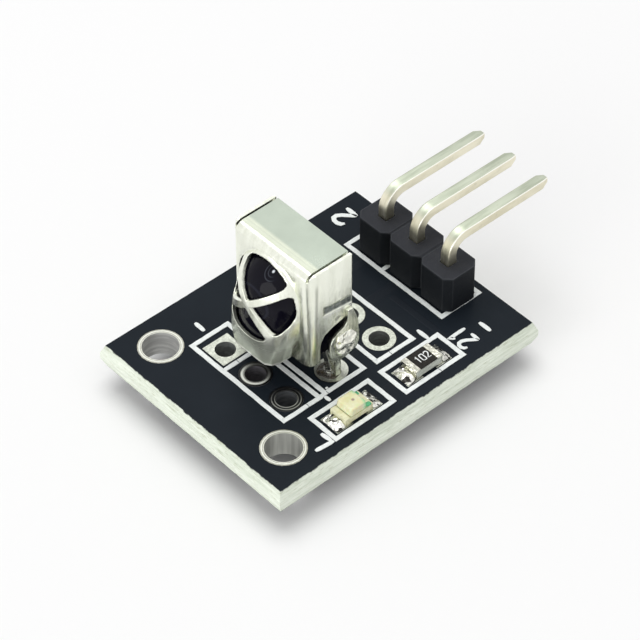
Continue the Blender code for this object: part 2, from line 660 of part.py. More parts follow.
def build_chip_ends(name, centre, height):
    """Pads, wrapped end caps and solder at both ends of a chip, mirrored about its middle."""
    x, y = centre
    seat = PAD_TOP + GAP
    end, half = CHIP_LENGTH / 2, CHIP_PAD_WIDTH / 2
    top = seat + 2 * TERMINAL_SHEET + 2 * GAP + height
    for number, way in ((1, -1), (2, 1)):
        low, high = chip_pads(centre)[number - 1]
        bm = bmesh.new()
        add_box(bm, (*low, PAD_TOP - COPPER), (*high, PAD_TOP))
        add_object(f"{name}_pad_{number}", bm, tinned())
        outer = x + way * CHIP_PAD_SPAN / 2
        tip, root, lip = x + way * end, x + way * (end - TERMINAL_SHEET), x + way * (end - TERMINAL_WRAP)
        cap = [(lip, seat), (tip, seat), (tip, top), (lip, top), (lip, top - TERMINAL_SHEET),
               (root, top - TERMINAL_SHEET), (root, seat + TERMINAL_SHEET), (lip, seat + TERMINAL_SHEET)]
        bm = bmesh.new()
        add_prism(bm, cap, 1, y - CHIP_WIDTH / 2, y + CHIP_WIDTH / 2)
        add_object(f"{name}_terminal_{number}", bm, solder_metal())
        heel, toe = tip + way * GAP, outer - way * GAP
        fillet = [(heel, seat), (toe, seat), (toe, seat + FILLET_TOE / 2), ((heel + 2 * toe) / 3, seat + FILLET_TOE),
                  ((2 * heel + toe) / 3, seat + FILLET_TOE + height / 3), (heel, top - TERMINAL_SHEET)]
        bm = bmesh.new()
        add_prism(bm, fillet, 1, y - half + GAP, y + half - GAP)
        add_object(f"{name}_solder_{number}", bm, solder_metal())


def chip_core(height):
    """Half length and the two heights of the block held between the end caps."""
    low = PAD_TOP + GAP + TERMINAL_SHEET + GAP
    return CHIP_LENGTH / 2 - TERMINAL_SHEET - GAP, low, low + height


def build_lamp():
    x, y = chip_places()[0]
    build_chip_ends("lamp", (x, y), LAMP_BASE_HEIGHT)
    half, low, high = chip_core(LAMP_BASE_HEIGHT)
    wide = CHIP_WIDTH / 2
    bm = bmesh.new()
    add_box(bm, (x - half, y - wide, low), (x + half, y + wide, high))
    add_object("lamp_base", bm, finish("lamp_base", (0.72, 0.74, 0.6), 0.5))
    long = LAMP_LENS_LENGTH / 2
    bm = bmesh.new()
    add_rings(bm, [
        rectangle((x, y), long, wide, high + GAP),
        rectangle((x, y), long - LAMP_LENS_TAPER, wide - LAMP_LENS_TAPER / 2, high + GAP + LAMP_LENS_HEIGHT),
    ])
    add_object("lamp_lens", bm, finish("lamp_epoxy", (0.85, 0.83, 0.55), 0.2, 0.0, 0.8))


def build_resistor():
    x, y = chip_places()[1]
    build_chip_ends("resistor", (x, y), RESISTOR_HEIGHT)
    half, low, high = chip_core(RESISTOR_HEIGHT)
    wide = CHIP_WIDTH / 2
    bm = bmesh.new()
    add_box(bm, (x - half, y - wide, low), (x + half, y + wide, high))
    add_object("resistor_ceramic", bm, finish("ceramic", (0.62, 0.64, 0.6), 0.55))
    long = CHIP_LENGTH / 2 - TERMINAL_WRAP - GAP
    bm = bmesh.new()
    add_box(bm, (x - long, y - wide, high + GAP), (x + long, y + wide, high + GAP + RESISTOR_COAT))
    add_object("resistor_coat", bm, finish("black_glaze", (0.02, 0.02, 0.02), 0.35))


def build_frame(name, west, east, south, north, divider=None):
    """A printed rectangle, its line centred on the four edges, with an optional crossing line."""
    half = INK_WIDTH / 2
    xs = [west - half, west + half, east - half, east + half]
    ys = [south - half, south + half]
    if divider is not None:
        ys += [divider - half, divider + half]
    ys += [north - half, north + half]
    bm = bmesh.new()
    grid = [[bm.verts.new((x, y, TOP + GAP)) for x in xs] for y in ys]
    for row in range(len(ys) - 1):
        for column in range(3):
            if column == 1 and row % 2 == 1:
                continue
            bm.faces.new((grid[row][column], grid[row][column + 1], grid[row + 1][column + 1], grid[row + 1][column]))
    lifted = bmesh.ops.extrude_face_region(bm, geom=bm.faces[:])
    raised = [part for part in lifted["geom"] if isinstance(part, bmesh.types.BMVert)]
    bmesh.ops.translate(bm, verts=raised, vec=(0, 0, INK_THICKNESS))
    add_object(name, bm, white_ink())


def build_row_frame(name, x, margins, divider=None):
    west, east, south, north = margins
    build_frame(name, x - west, x + east, CENTRE_Y - ROW_HALF - south, CENTRE_Y + ROW_HALF + north, divider)


def build_frames():
    divider = CENTRE_Y + INK_DIVIDER
    build_row_frame("outline_spare", SPARE_X, SPARE_MARGINS, divider)
    build_row_frame("outline_receiver", RECEIVER_X, RECEIVER_MARGINS)
    build_row_frame("outline_rear", REAR_X, REAR_MARGINS)
    build_row_frame("outline_header", HEADER_X, HEADER_MARGINS, divider)
    wide = CHIP_FRAME_WIDTH / 2
    for name, x, length in (("outline_lamp", LAMP_FRAME_X, LAMP_FRAME_LENGTH),
                            ("outline_resistor", RESISTOR_FRAME_X, RESISTOR_FRAME_LENGTH)):
        build_frame(name, x - length / 2, x + length / 2, CHIP_ROW_Y - wide, CHIP_ROW_Y + wide)


def main():
    clear_scene()
    build_board()
    for hole in plated_holes():
        build_plating(*hole)
    build_housing()
    build_pins()
    build_shield()
    build_receiver_body()
    build_leads()
    build_lamp()
    build_resistor()
    build_frames()


main()
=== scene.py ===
# %% [markdown]
# # Dressing an infrared receiver module
# The solids of this little board are already made to size. In this lesson each of them
# gets the surface that the real object shows: solder mask, tinned sheet, printed ink and
# lumpy solder. We clear the starter objects first, so that only the module is measured.

# %% Load the solids
import math
from functools import reduce

import bmesh
import bpy
from mathutils import Matrix, Vector, noise
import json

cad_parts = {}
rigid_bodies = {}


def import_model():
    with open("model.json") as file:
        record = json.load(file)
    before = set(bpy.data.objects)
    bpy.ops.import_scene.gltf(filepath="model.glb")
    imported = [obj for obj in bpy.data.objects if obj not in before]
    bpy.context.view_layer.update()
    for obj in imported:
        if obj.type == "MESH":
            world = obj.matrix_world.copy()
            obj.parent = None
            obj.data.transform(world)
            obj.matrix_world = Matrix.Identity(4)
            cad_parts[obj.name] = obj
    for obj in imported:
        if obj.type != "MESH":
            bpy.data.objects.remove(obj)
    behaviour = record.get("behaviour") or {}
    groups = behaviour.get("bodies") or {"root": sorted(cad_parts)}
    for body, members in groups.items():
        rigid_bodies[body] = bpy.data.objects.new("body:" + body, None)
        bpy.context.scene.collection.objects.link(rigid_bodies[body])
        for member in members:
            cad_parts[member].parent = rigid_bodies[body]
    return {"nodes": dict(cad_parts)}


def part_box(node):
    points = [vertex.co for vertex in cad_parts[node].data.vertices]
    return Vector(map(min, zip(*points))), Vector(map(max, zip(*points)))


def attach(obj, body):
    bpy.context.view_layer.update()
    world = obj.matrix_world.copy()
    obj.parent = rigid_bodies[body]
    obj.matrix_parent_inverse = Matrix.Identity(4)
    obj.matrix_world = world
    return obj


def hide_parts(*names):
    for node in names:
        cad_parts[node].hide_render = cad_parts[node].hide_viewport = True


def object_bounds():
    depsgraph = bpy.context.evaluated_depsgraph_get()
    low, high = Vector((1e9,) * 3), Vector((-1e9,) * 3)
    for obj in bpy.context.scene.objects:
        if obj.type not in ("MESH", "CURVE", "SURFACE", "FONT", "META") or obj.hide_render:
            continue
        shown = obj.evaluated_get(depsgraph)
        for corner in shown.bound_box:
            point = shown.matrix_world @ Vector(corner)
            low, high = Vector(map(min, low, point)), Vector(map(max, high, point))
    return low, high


for leftover in list(bpy.data.objects):
    bpy.data.objects.remove(leftover)
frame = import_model()
cad_box = [list(corner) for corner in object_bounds()]
nodes = frame["nodes"]
MM = 0.001
print("solids:", len(nodes), "box in mm:", [[round(v / MM, 2) for v in corner] for corner in cad_box])

# %% [markdown]
# ## Stand where the photographer stood
# A long lens looks down at the lens end of the board from a corner. The three angles turn
# the camera round the upright axis, lift it, and tip it a hair. A constraint could aim it,
# but angles that were solved from the board's corners put every corner where the photo has
# it. A camera looks along its own minus Z, so its matrix is made of the directions to its
# right, up and back.

# %% Camera
AZIMUTH, ELEVATION, TIP = (math.radians(angle) for angle in (-41.56, 45.02, -0.505))
CAMERA_PLACE = Vector((-78.69, -88.79, 121.42))
FOCAL_LENGTH, SENSOR_WIDTH = 171.15, 36

right = Vector((math.cos(AZIMUTH), math.sin(AZIMUTH), 0))
level_back = Vector((math.sin(AZIMUTH), -math.cos(AZIMUTH), 0))
back = level_back * math.cos(ELEVATION) + Vector((0, 0, math.sin(ELEVATION)))
up = back.cross(right)
tipped_right = right * math.cos(TIP) + up * math.sin(TIP)
tipped_up = up * math.cos(TIP) - right * math.sin(TIP)

camera_data = bpy.data.cameras.new("camera")
camera_data.sensor_width = SENSOR_WIDTH
camera_data.lens = FOCAL_LENGTH
camera_data.clip_start = 0.01
camera_data.clip_end = 20
camera = bpy.data.objects.new("camera", camera_data)
camera.matrix_world = Matrix((tipped_right, tipped_up, back)).transposed().to_4x4()
camera.matrix_world.translation = CAMERA_PLACE * MM
bpy.context.scene.collection.objects.link(camera)
bpy.context.scene.camera = camera
bpy.context.scene.view_settings.view_transform = "Standard"
print("camera", round(camera.location.length / MM), "mm from the board")

# %% [markdown]
# ## Wires that add up
# Shader graphs are sums and products, so we let Python's own signs build them. A Wire
# holds one output socket, and an operator makes the Math or Vector Math node that joins
# two of them. Every other node comes from `node`, which applies the settings before the
# sockets, because some settings change which sockets there are. Linking by hand would take
# three lines for each sum.

# %% A wire between shader nodes
class Wire:
    """One output of a shader node, which adds and multiplies like a number."""

    def __init__(self, tree, output=None):
        self.tree = tree
        self.output = output

    def node(self, kind, settings=None, values=None, out=0):
        """Make a node from its settings and its input values or wires, and give one output."""
        made = self.tree.nodes.new(kind)
        for key, value in (settings or {}).items():
            setattr(made, key, value)
        for key, value in (values or {}).items():
            feed(self.tree, value, made.inputs[key])
        return Wire(self.tree, made.outputs[out] if made.outputs else None)

    def combine(self, operation, *pair):
        """Join two values with a Math node, or a Vector Math node where either has three parts."""
        wide = any(isinstance(v, tuple) or isinstance(v, Wire) and v.output.type != "VALUE" for v in pair)
        kind = "ShaderNodeVectorMath" if wide else "ShaderNodeMath"
        if wide:
            pair = [v if isinstance(v, (tuple, Wire)) else (v, v, v) for v in pair]
        return self.node(kind, {"operation": operation}, dict(enumerate(pair)))

    def __add__(self, other):
        return self.combine("ADD", self, other)

    __radd__ = __add__

    def __sub__(self, other):
        return self.combine("SUBTRACT", self, other)

    def __rsub__(self, other):
        return self.combine("SUBTRACT", other, self)

    def __mul__(self, other):
        return self.combine("MULTIPLY", self, other)

    __rmul__ = __mul__

    def __pow__(self, other):
        return self.combine("POWER", self, other)

    def __abs__(self):
        return self.combine("ABSOLUTE", self, 0.0)

    def most(self, other):
        return self.combine("MAXIMUM", self, other)

    def least(self, other):
        return self.combine("MINIMUM", self, other)

    def rise(self, low, high):
        """Smoothly from 0 at low to 1 at high. Low may be the larger of the two."""
        span = {"Value": self, "From Min": low, "From Max": high}
        return self.node("ShaderNodeMapRange", {"interpolation_type": "SMOOTHSTEP"}, span)

    def blend(self, dark, light):
        """The colour dark where this is 0, and light where it is 1."""
        return self.node("ShaderNodeMix", {"data_type": "RGBA"}, {0: self, 6: dark, 7: light}, 2)

    def blend_facing(self, first, second):
        """The direction first where this is 0, and second where it is 1."""
        return self.node("ShaderNodeMix", {"data_type": "VECTOR"}, {0: self, 4: first, 5: second}, 1)

    def parts(self, axes="XYZ"):
        """The parts of a vector along some axes, as a wire each."""
        split = self.node("ShaderNodeSeparateXYZ", None, {0: self}).output.node
        return [Wire(self.tree, split.outputs[axis]) for axis in axes]

    def length(self):
        """How long a vector is."""
        return self.node("ShaderNodeVectorMath", {"operation": "LENGTH"}, {0: self}, 1)


def feed(tree, value, socket):
    """Link a wire to a socket, or type a value into it."""
    if isinstance(value, Wire):
        tree.links.new(value.output, socket)
    elif isinstance(value, tuple) and len(value) == 3 and socket.type == "RGBA":
        socket.default_value = (*value, 1)
    else:
        socket.default_value = value


print("wires can", [name for name in vars(Wire) if not name.startswith("_")])

# %% [markdown]
# ## Start a finish
# Every finish reads the same map: the place on the module in millimetres. A noise of
# scale 5 then has five bumps in a millimetre on every piece, and a mark that we measured
# on the photo lands where it belongs. Noise that is stretched along one axis gives the
# drawn and rolled look of metal.

# %% Shared starts for a finish
def start_finish(name):
    """An empty material, and the wire that carries the place in millimetres."""
    material = bpy.data.materials.new(name)
    material.use_nodes = True
    start = Wire(material.node_tree)
    return material, start.node("ShaderNodeTexCoord", out="Object") * (1 / MM)


def set_shader(material, **values):
    """Fill the shader's sockets. Spaces in their names are written as underscores."""
    shader = material.node_tree.nodes["Principled BSDF"]
    for key, value in values.items():
        feed(material.node_tree, value, shader.inputs[key.replace("_", " ")])
    return material


def facing_of(place, kind="Normal"):
    """The direction the surface faces. The kind True Normal leaves smooth shading out."""
    return place.node("ShaderNodeNewGeometry", None, None, kind)


def round_edges(place, radius):
    """The facing with its edges rounded off, so that they catch the light."""
    return place.node("ShaderNodeBevel", {"samples": 6}, {"Radius": radius * MM})


def grain(place, scale, detail=3.0, rough=0.55, stretch=(1.0, 1.0, 1.0), shift=0.0):
    """Noise from 0 to 1, with so many bumps in a millimetre."""
    spread = place * stretch + (shift, shift, shift)
    values = {"Vector": spread, "Scale": scale, "Detail": detail, "Roughness": rough}
    return place.node("ShaderNodeTexNoise", None, values)


def bump(height, depth, normal=None):
    """A bump of so many millimetres from a height of 0 to 1."""
    values = {"Height": height, "Strength": 1.0, "Distance": depth * MM}
    if normal:
        values["Normal"] = normal
    return height.node("ShaderNodeBump", None, values)


print("a finish starts with", start_finish("trial")[0].name)
bpy.data.materials.remove(bpy.data.materials["trial"])

# %% [markdown]
# ## Marks at a measured place
# A mark is a mask: 1 on it and 0 off it. We could paint it on an image, but a formula
# stays sharp from near by. A rectangle with soft sides and the distance from a point make
# nearly all of ours, and the largest of several masks joins them into one.

# %% Masks and tones
def soft_box(x, y, centre, half_x, half_y, edge=0.02):
    """1 inside a rectangle on the board and 0 outside it, over a soft edge."""
    reach = (abs(x - centre[0]) - half_x).most(abs(y - centre[1]) - half_y)
    return reach.rise(edge, -edge)


def distance(*sides):
    """How far apart two places are, from their distances along each axis."""
    return reduce(Wire.__add__, [side ** 2.0 for side in sides]) ** 0.5


def largest(masks):
    """Several masks as one."""
    return reduce(Wire.most, list(masks))


def shade(tone, share):
    """A darker tone: a share of its light."""
    return tuple(part * share for part in tone)


print("half of a mid grey is", shade((0.5, 0.5, 0.5), 0.5))

# %% [markdown]
# ## The board's bare edge
# The board was snapped out of a panel along a scored line, so its edges are bare
# glass-fibre laminate: pale green, torn, and paler on the web that was left between the two
# scores. The threads of the cloth are far too fine to model, and noise that is long along
# the edge and short across it looks like their layers.

# %% Laminate
board_half_x, board_half_y, board_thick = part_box("circuit_board")[1] / MM
LAMINATE_DARK, LAMINATE_PALE = (0.66, 0.72, 0.60), (0.87, 0.92, 0.81)
WEB_HALF = (0.24, 0.16)


def bare_laminate(place):
    """The colour and the bump of the snapped edge."""
    fibre = grain(place, 1.6, 5.0, 0.65, (0.3, 0.3, 5.0))
    splinter = grain(place, 5.0, 3.0, 0.6, (0.35, 0.35, 3.0), 3.0)
    colour = fibre.rise(0.3, 0.72).blend(LAMINATE_DARK, LAMINATE_PALE)
    colour = (splinter.rise(0.53, 0.69) * 0.55).blend(colour, (0.46, 0.48, 0.34))
    web = abs(place.parts("Z")[0] - board_thick / 2).rise(*WEB_HALF)
    colour = (web * 0.3).blend(colour, (0.93, 0.97, 0.87))
    return colour, bump(fibre * 0.6 + splinter * 0.4, 0.07)


print("laminate from", LAMINATE_DARK, "to", LAMINATE_PALE)

# %% [markdown]
# ## The board's black faces
# The faces carry black solder mask, a glossy ink that flows in a thin layer over the
# copper, so faint ridges show where a track runs under it. Two materials would need the
# mesh cut along the border, so one does both the faces and the edges. It tells them apart
# by the distance to the edge, and a little noise tears the border between them.

# %% Solder mask
TRACKS = (((4.8, 2.6), 2.6, 0.22), ((3.0, 0.06), 4.3, 0.3), ((5.0, -2.9), 0.2, 2.4),
          ((0.5, -2.48), 1.8, 0.2), ((-4.66, -0.1), 0.2, 2.6), ((0.1, -5.57), 1.2, 0.25))
MASK_BORDER = (0.295, 0.335)
MASK_ROUGH, BARE_ROUGH = 0.30, 0.8


def make_board_finish():
    """Black mask with the ridges of its tracks, and laminate near the board's edge."""
    material, place = start_finish("board_black_mask")
    x, y = place.parts("XY")
    inset = (board_half_x - abs(x)).least(board_half_y - abs(y))
    mask = (inset + grain(place, 1.7, 4.0, 0.6) * 0.15).rise(*MASK_BORDER)
    tracks = largest(soft_box(x, y, *track) for track in TRACKS)
    cloud = grain(place, 0.35, 3.0)
    black = cloud.blend((0.0092, 0.0128, 0.0176), (0.0145, 0.0196, 0.0262))
    black = (tracks * 0.35).blend(black, (0.018, 0.021, 0.027))
    bare, torn = bare_laminate(place)
    skin = bump(tracks * 0.8 + grain(place, 3.0, 2.0) * 0.2, 0.012)
    rough = mask * (MASK_ROUGH + cloud * 0.1 - BARE_ROUGH) + BARE_ROUGH
    return set_shader(material, Base_Color=mask.blend(bare, black), Roughness=rough,
                      Normal=mask.blend_facing(torn, skin), Specular_IOR_Level=0.06)


board_finish = make_board_finish()
print("board finish has", len(board_finish.node_tree.nodes), "nodes")

# %% [markdown]
# ## Painted highlights on a ring
# A shiny tin ring catches the light in thin bright lines at its rims, often on one side
# only, and here these are painted highlights. Thin hoops of mesh would do too, but lines in
# the colour can fade out. Each lies at its own distance from the ring's middle, which we
# measure on the solid.

# %% Rims
def rim_highlights(x, y, ring, rims, lit):
    """The painted highlights of a ring, from 0 to 1.

    Rims holds the radius, half width and strength of each line. Lit is the direction on
    the board that the bright side faces, or None where the ring is bright all round.
    """
    low, high = (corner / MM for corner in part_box(ring))
    across, along = x - (low.x + high.x) / 2, y - (low.y + high.y) / 2
    around = distance(across, along)
    shine = largest(abs(around - radius).rise(half, half * 0.3) * strength
                    for radius, half, strength in rims)
    if lit:
        shine = shine * ((across * lit[0] + along * lit[1]).rise(-0.7, 0.5) * 0.85 + 0.15)
    return shine


print("plated rings:", sum("ring_" in name for name in nodes))

# %% [markdown]
# ## Tinned copper in the holes
# Each hole is plated through, then dipped in tin. The pads are a little frosted, while the
# drilled wall keeps the lines of the drill, and painted shade darkens it with depth. Two
# spare rings get nearly black pads as painted dark reflection, and one ring is brown from
# flux, so one function takes a tone for the pad and one for the wall, where a material for
# each ring would repeat itself.

# %% Plating
UPRIGHT_LINES = (1.0, 1.0, 5.0)
RIM_HIGHLIGHT_TONE = (0.90, 0.92, 0.84)


def make_plating(name, pad, wall, depth_shade=0.6, ring=None, rims=(), lit=None, drill=UPRIGHT_LINES, frosted=1.0):
    """Tinned copper. The fourth argument is the share of painted shade that darkens the wall with depth,
    and drill stretches the lines on it.
    """
    material, place = start_finish(name)
    x, y, z = place.parts()
    flat = abs(facing_of(place).parts("Z")[0]).rise(0.5, 0.8)
    metal = flat * 0.5 + 0.5
    frost = grain(place, 7.0, 4.0, 0.65)
    blotch = grain(place, 1.3, 2.0, 0.5, shift=5.0)
    face = (frost.rise(0.3, 0.75) * frosted + (1.0 - frosted)).blend(shade(pad, 0.62), pad)
    face = (blotch.rise(0.5, 0.75) * 0.4 * frosted).blend(face, shade(pad, 0.45))
    if ring:
        # Painted highlights on the rims, made less metallic so that they stay bright.
        shine = rim_highlights(x, y, ring, rims, lit)
        face = shine.blend(face, RIM_HIGHLIGHT_TONE)
        metal = metal - shine * flat
    lines = grain(place, 1.8, 2.0, 0.5, drill)
    inside = lines.rise(0.3, 0.75).blend(shade(wall, 0.6), wall)
    # Painted shade: the wall darkens deeper in the hole.
    inside = (z.rise(1.5, 0.0) * depth_shade).blend(inside, shade(wall, 0.25))
    return set_shader(material, Base_Color=flat.blend(inside, face), Metallic=metal,
                      Roughness=frost * 0.2 + 0.26, Normal=bump(frost * 0.6 + lines * 0.4, 0.02))


MOUNT_PAD = (0.40, 0.40, 0.34)
MOUNT_WALLS = (((0.80, 0.80, 0.78), (0.25, 0.25, 2.2)), ((0.74, 0.75, 0.70), (1.6, 1.6, 0.1)))
MOUNT_RIM_HIGHLIGHTS = ((1.19, 0.06, 0.75), (1.08, 0.025, 0.6))
RING_2_RIM_HIGHLIGHTS = ((0.75, 0.11, 1.0), (0.64, 0.03, 0.5))
RING_3_RIM_HIGHLIGHTS = ((0.81, 0.04, 0.45), (0.64, 0.03, 0.55))
mount_plating = [make_plating(f"plating_mount_{number}", MOUNT_PAD, wall, 0.0, f"mounting_ring_{number}",
                              MOUNT_RIM_HIGHLIGHTS, None, drill, 0.5)
                 for number, (wall, drill) in enumerate(MOUNT_WALLS, 1)]
row_plating = make_plating("plating_row", (0.64, 0.67, 0.58), (0.40, 0.42, 0.41), 0.4)
# Nearly black pads: painted dark reflection, with painted highlights on their rims.
dark_reflection_plating_2 = make_plating("plating_dark_reflection_2", (0.07, 0.07, 0.07), (0.22, 0.21, 0.23), 0.4, "spare_ring_2",
                            RING_2_RIM_HIGHLIGHTS, (-0.9, -0.25))
dark_reflection_plating_3 = make_plating("plating_dark_reflection_3", (0.06, 0.06, 0.065), (0.20, 0.21, 0.22), 0.4, "spare_ring_3",
                            RING_3_RIM_HIGHLIGHTS, (-0.5, -0.7))
flux_plating = make_plating("plating_flux", (0.66, 0.68, 0.60), (0.10, 0.07, 0.04))
print("mount plating:", [made.name for made in mount_plating])

# %% [markdown]
# ## Solder
# Solder freezes from the outside in, so its skin is bright, lumpy and pitted, and brown
# flux sits in the hollows. The lumps need two sizes of bump, and the darks must be
# strong, because on a mirror-like skin it is the neighbouring darks that show the form.

# %% Solder finish
def make_solder(name, tone, dark, flecks, scale, depth=0.42):
    """Solder with its bumps and pits at a scale, and more pits the lower flecks is."""
    material, place = start_finish(name)
    lump = grain(place, scale, 2.0, 0.5)
    fine = grain(place, scale * 3.0, 3.0, 0.6, shift=2.0)
    pit = grain(place, scale * 1.2, 2.0, 0.45, shift=9.0).rise(flecks, flecks + 0.05)
    colour = fine.rise(0.35, 0.7).blend(shade(tone, 0.6), tone)
    colour = pit.blend(colour, dark)
    return set_shader(material, Base_Color=colour, Metallic=1.0 - pit * 0.5,
                      Roughness=0.12 + fine * 0.14, Normal=bump(lump * 0.94 + fine * 0.06, depth / scale))


solder_finish = make_solder("solder_bright", (0.95, 0.95, 0.88), (0.025, 0.024, 0.020), 0.56, 1.7)
tab_finish = make_solder("solder_tab", (1.0, 1.0, 0.90), (0.22, 0.23, 0.16), 0.62, 1.15, 0.14)
cap_finish = make_solder("solder_cap", (0.86, 0.86, 0.74), (0.48, 0.48, 0.40), 0.70, 2.0, 0.12)
cone_finish = make_solder("solder_cone", (0.80, 0.80, 0.75), (0.18, 0.15, 0.10), 0.64, 2.2)
print("solder:", [made.name for made in (solder_finish, tab_finish, cap_finish, cone_finish)])

# %% [markdown]
# ## Where things are on the shield
# The shield is folded from thin steel sheet that was tinned in the roll, and each of its
# faces mirrors something else. The solid is one piece, so instead of cutting it up we mark
# its areas: the flat roof, the side plates, the near one of them, and the swollen part of
# the front. The roof's height comes from the solid, and the middle from the casting in it.

# %% Areas of the shield
LENS_Z = 7.05
ROOF_FRONT, ROOF_HALF = (-2.95, -2.75), (2.95, 2.9)
SIDE_START, SWELL_START = (-3.3, -2.9), (-3.35, -3.8)
casting_low, casting_high = (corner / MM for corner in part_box("receiver_body"))
shield_y = (casting_low.y + casting_high.y) / 2
roof_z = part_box("receiver_shield")[1].z / MM


def shield_areas(place):
    """Masks for the roof, the side plates, the near one, and the swollen front."""
    x, y, z = place.parts()
    sideways = facing_of(place).parts("Y")[0]
    roof = z.rise(roof_z - 0.12, roof_z - 0.02)
    roof = roof * x.rise(*ROOF_FRONT) * abs(y - shield_y).rise(*ROOF_HALF)
    side = abs(sideways).rise(0.7, 0.9) * x.rise(*SIDE_START)
    near = side * sideways.rise(0.0, -0.5)
    return roof, side, near, x.rise(*SWELL_START)


print("shield: middle at y", round(shield_y, 2), "and roof at z", round(roof_z, 2), "mm")

# %% [markdown]
# ## Tones of the tinned sheet
# Rolling leaves fine lines up and down the walls, hands leave smears, and the wash after
# soldering leaves greenish drips near the foot. Painted light is laid on as well: a painted
# highlight high on the walls and along the front's foot, and a painted reflection of the
# dark board that darkens the walls towards the foot and in the scoop under the swelling. Each
# is a layer: a mask times a strength, which blends the tone so far with the layer's own. The
# roof is plainer, with two painted highlights where the sheet starts to bend down to the
# front, parted by a darker line.

# %% Wall and roof
TOP_HIGHLIGHT = (6.6, 8.0)
DRIPS_FADE, FOOT_REFLECTION_FADE, SCOOP_FADE = (6.4, 4.2), (5.2, 3.2), (5.7, 3.9)
FOOT_HIGHLIGHT = (3.44, 3.34)
ROOF_HIGHLIGHT_BAND, HIGHLIGHT_GAP_X = (-2.2, -2.42), -2.52


def wall_tone(place, lines, smear, side, swollen):
    """The colour of the upright sheet with its painted light, and the mask of the scoop at the front's
    foot.
    """
    x, z = place.parts("XZ")
    tone = lines.rise(0.3, 0.7).blend((0.74, 0.76, 0.64), (0.95, 0.97, 0.87))
    tone = (smear.rise(0.55, 0.75) * 0.35).blend(tone, (0.46, 0.48, 0.38))
    # Painted highlight high on the walls, near the top fold, stronger on the side plates.
    tone = ((side * 0.25 + 0.45) * z.rise(*TOP_HIGHLIGHT)).blend(tone, (0.88, 0.90, 0.80))
    drips = grain(place, 3.4, 3.0, 0.6, (1.0, 1.0, 0.07), 11.0).rise(0.5, 0.62) * z.rise(*DRIPS_FADE)
    tone = (drips * 0.6 * x.rise(-3.7, -3.3)).blend(tone, (0.30, 0.31, 0.20))
    # Painted reflection of the dark board: darker towards the foot.
    tone = (z.rise(*FOOT_REFLECTION_FADE) * 0.4).blend(tone, (0.52, 0.55, 0.40))
    scoop = swollen * z.rise(*SCOOP_FADE)
    # Painted reflection of the dark board in the scoop under the swelling.
    tone = (scoop * 0.75).blend(tone, (0.50, 0.54, 0.45))
    # Painted highlight along the front's foot.
    tone = (swollen * z.rise(*FOOT_HIGHLIGHT)).blend(tone, (0.97, 0.98, 0.90))
    return tone, scoop


def roof_tone(place):
    """The colour of the flat roof, with two painted highlights along its front."""
    x = place.parts("X")[0]
    tone = grain(place, 0.8, 2.0, 0.5, (1.0, 0.3, 1.0)).blend((0.49, 0.55, 0.468), (0.51, 0.57, 0.485))
    # Two painted highlights along the roof's front, parted by a darker line.
    tone = (x.rise(*ROOF_HIGHLIGHT_BAND) * 0.85).blend(tone, (0.73, 0.77, 0.63))
    highlight_gap = abs(x - HIGHLIGHT_GAP_X).rise(0.08, 0.01)
    return (highlight_gap * 0.4).blend(tone, (0.60, 0.64, 0.54))


print("drips start", round(DRIPS_FADE[0] - FOOT_HIGHLIGHT[0], 2), "mm over the front's foot")

# %% [markdown]
# ## The pressed dimple and its painted reflections
# A shallow dimple crosses the near side plate. It could be pressed into the mesh, but a
# form so shallow shows only by what it mirrors, so that is painted: the dark board as a
# dark band of painted reflection, with a painted highlight on the lip under it. Both lie on
# a slant, which adding a share of x to z gives. Fingers left a smudge below, and a painted
# dark reflection runs down the front fold beside it.

# %% Marks on the near side
SLANT = 0.14
DIMPLE_AND_REFLECTION = ((-1.2, 6.66), 1.0, 0.25, 0.1)
LIP_HIGHLIGHT = ((-1.25, 6.22), 1.02, 0.07, 0.06)
SMUDGE = ((-1.3, 5.8), 0.95, 0.3, 0.2)
FOLD_X = -2.62


def mark_near_side(place, colour, near, side, lines):
    """Paint the dimple's dark reflection, the highlight on its lip, the smudge and the dark reflection down
    the fold. Also gives the dimple's mask.
    """
    x, z = place.parts("XZ")
    slanted = z + x * SLANT + grain(place, 0.9, 1.0, 0.5, (1.0, 1.0, 0.5), 7.0) * 0.12
    band = soft_box(x, slanted, *DIMPLE_AND_REFLECTION) * near
    lip = soft_box(x, slanted, *LIP_HIGHLIGHT) * near
    smudge = grain(place, 2.6, 3.0, 0.6, shift=1.0).rise(0.5, 0.62) * near
    smudge = smudge * soft_box(x, z, *SMUDGE)
    colour = (smudge * 0.6).blend(colour, (0.24, 0.25, 0.22))
    mirrored = grain(place, 2.4, 3.0, 0.6, (1.4, 1.0, 0.5), 13.0).rise(0.3, 0.7)
    # Painted reflection of the dark board in the dimple.
    colour = (band * (0.95 - mirrored * 0.3)).blend(colour, (0.075, 0.095, 0.105))
    # Painted highlight on the dimple's lip.
    colour = lip.blend(colour, (0.97, 0.98, 0.94))
    # Painted dark reflection down the front fold.
    fold_reflection = abs(x - FOLD_X + lines * 0.25).rise(0.16, 0.02) * side
    fold_reflection = fold_reflection * z.rise(9.4, 8.6) * z.rise(2.6, 3.6)
    return (fold_reflection * 0.55).blend(colour, (0.20, 0.20, 0.17)), band


print("marks slant by", round(math.degrees(math.atan(SLANT)), 1), "degrees")

# %% [markdown]
# ## The sheet as one finish
# The layers come together here. The scoop is a little less metallic, as the photo shows it
# dull. Smooth shading would bend the roof's mirror image near its edges, so the level part
# takes the true facing of its faces, and all the rest takes rounded edges.

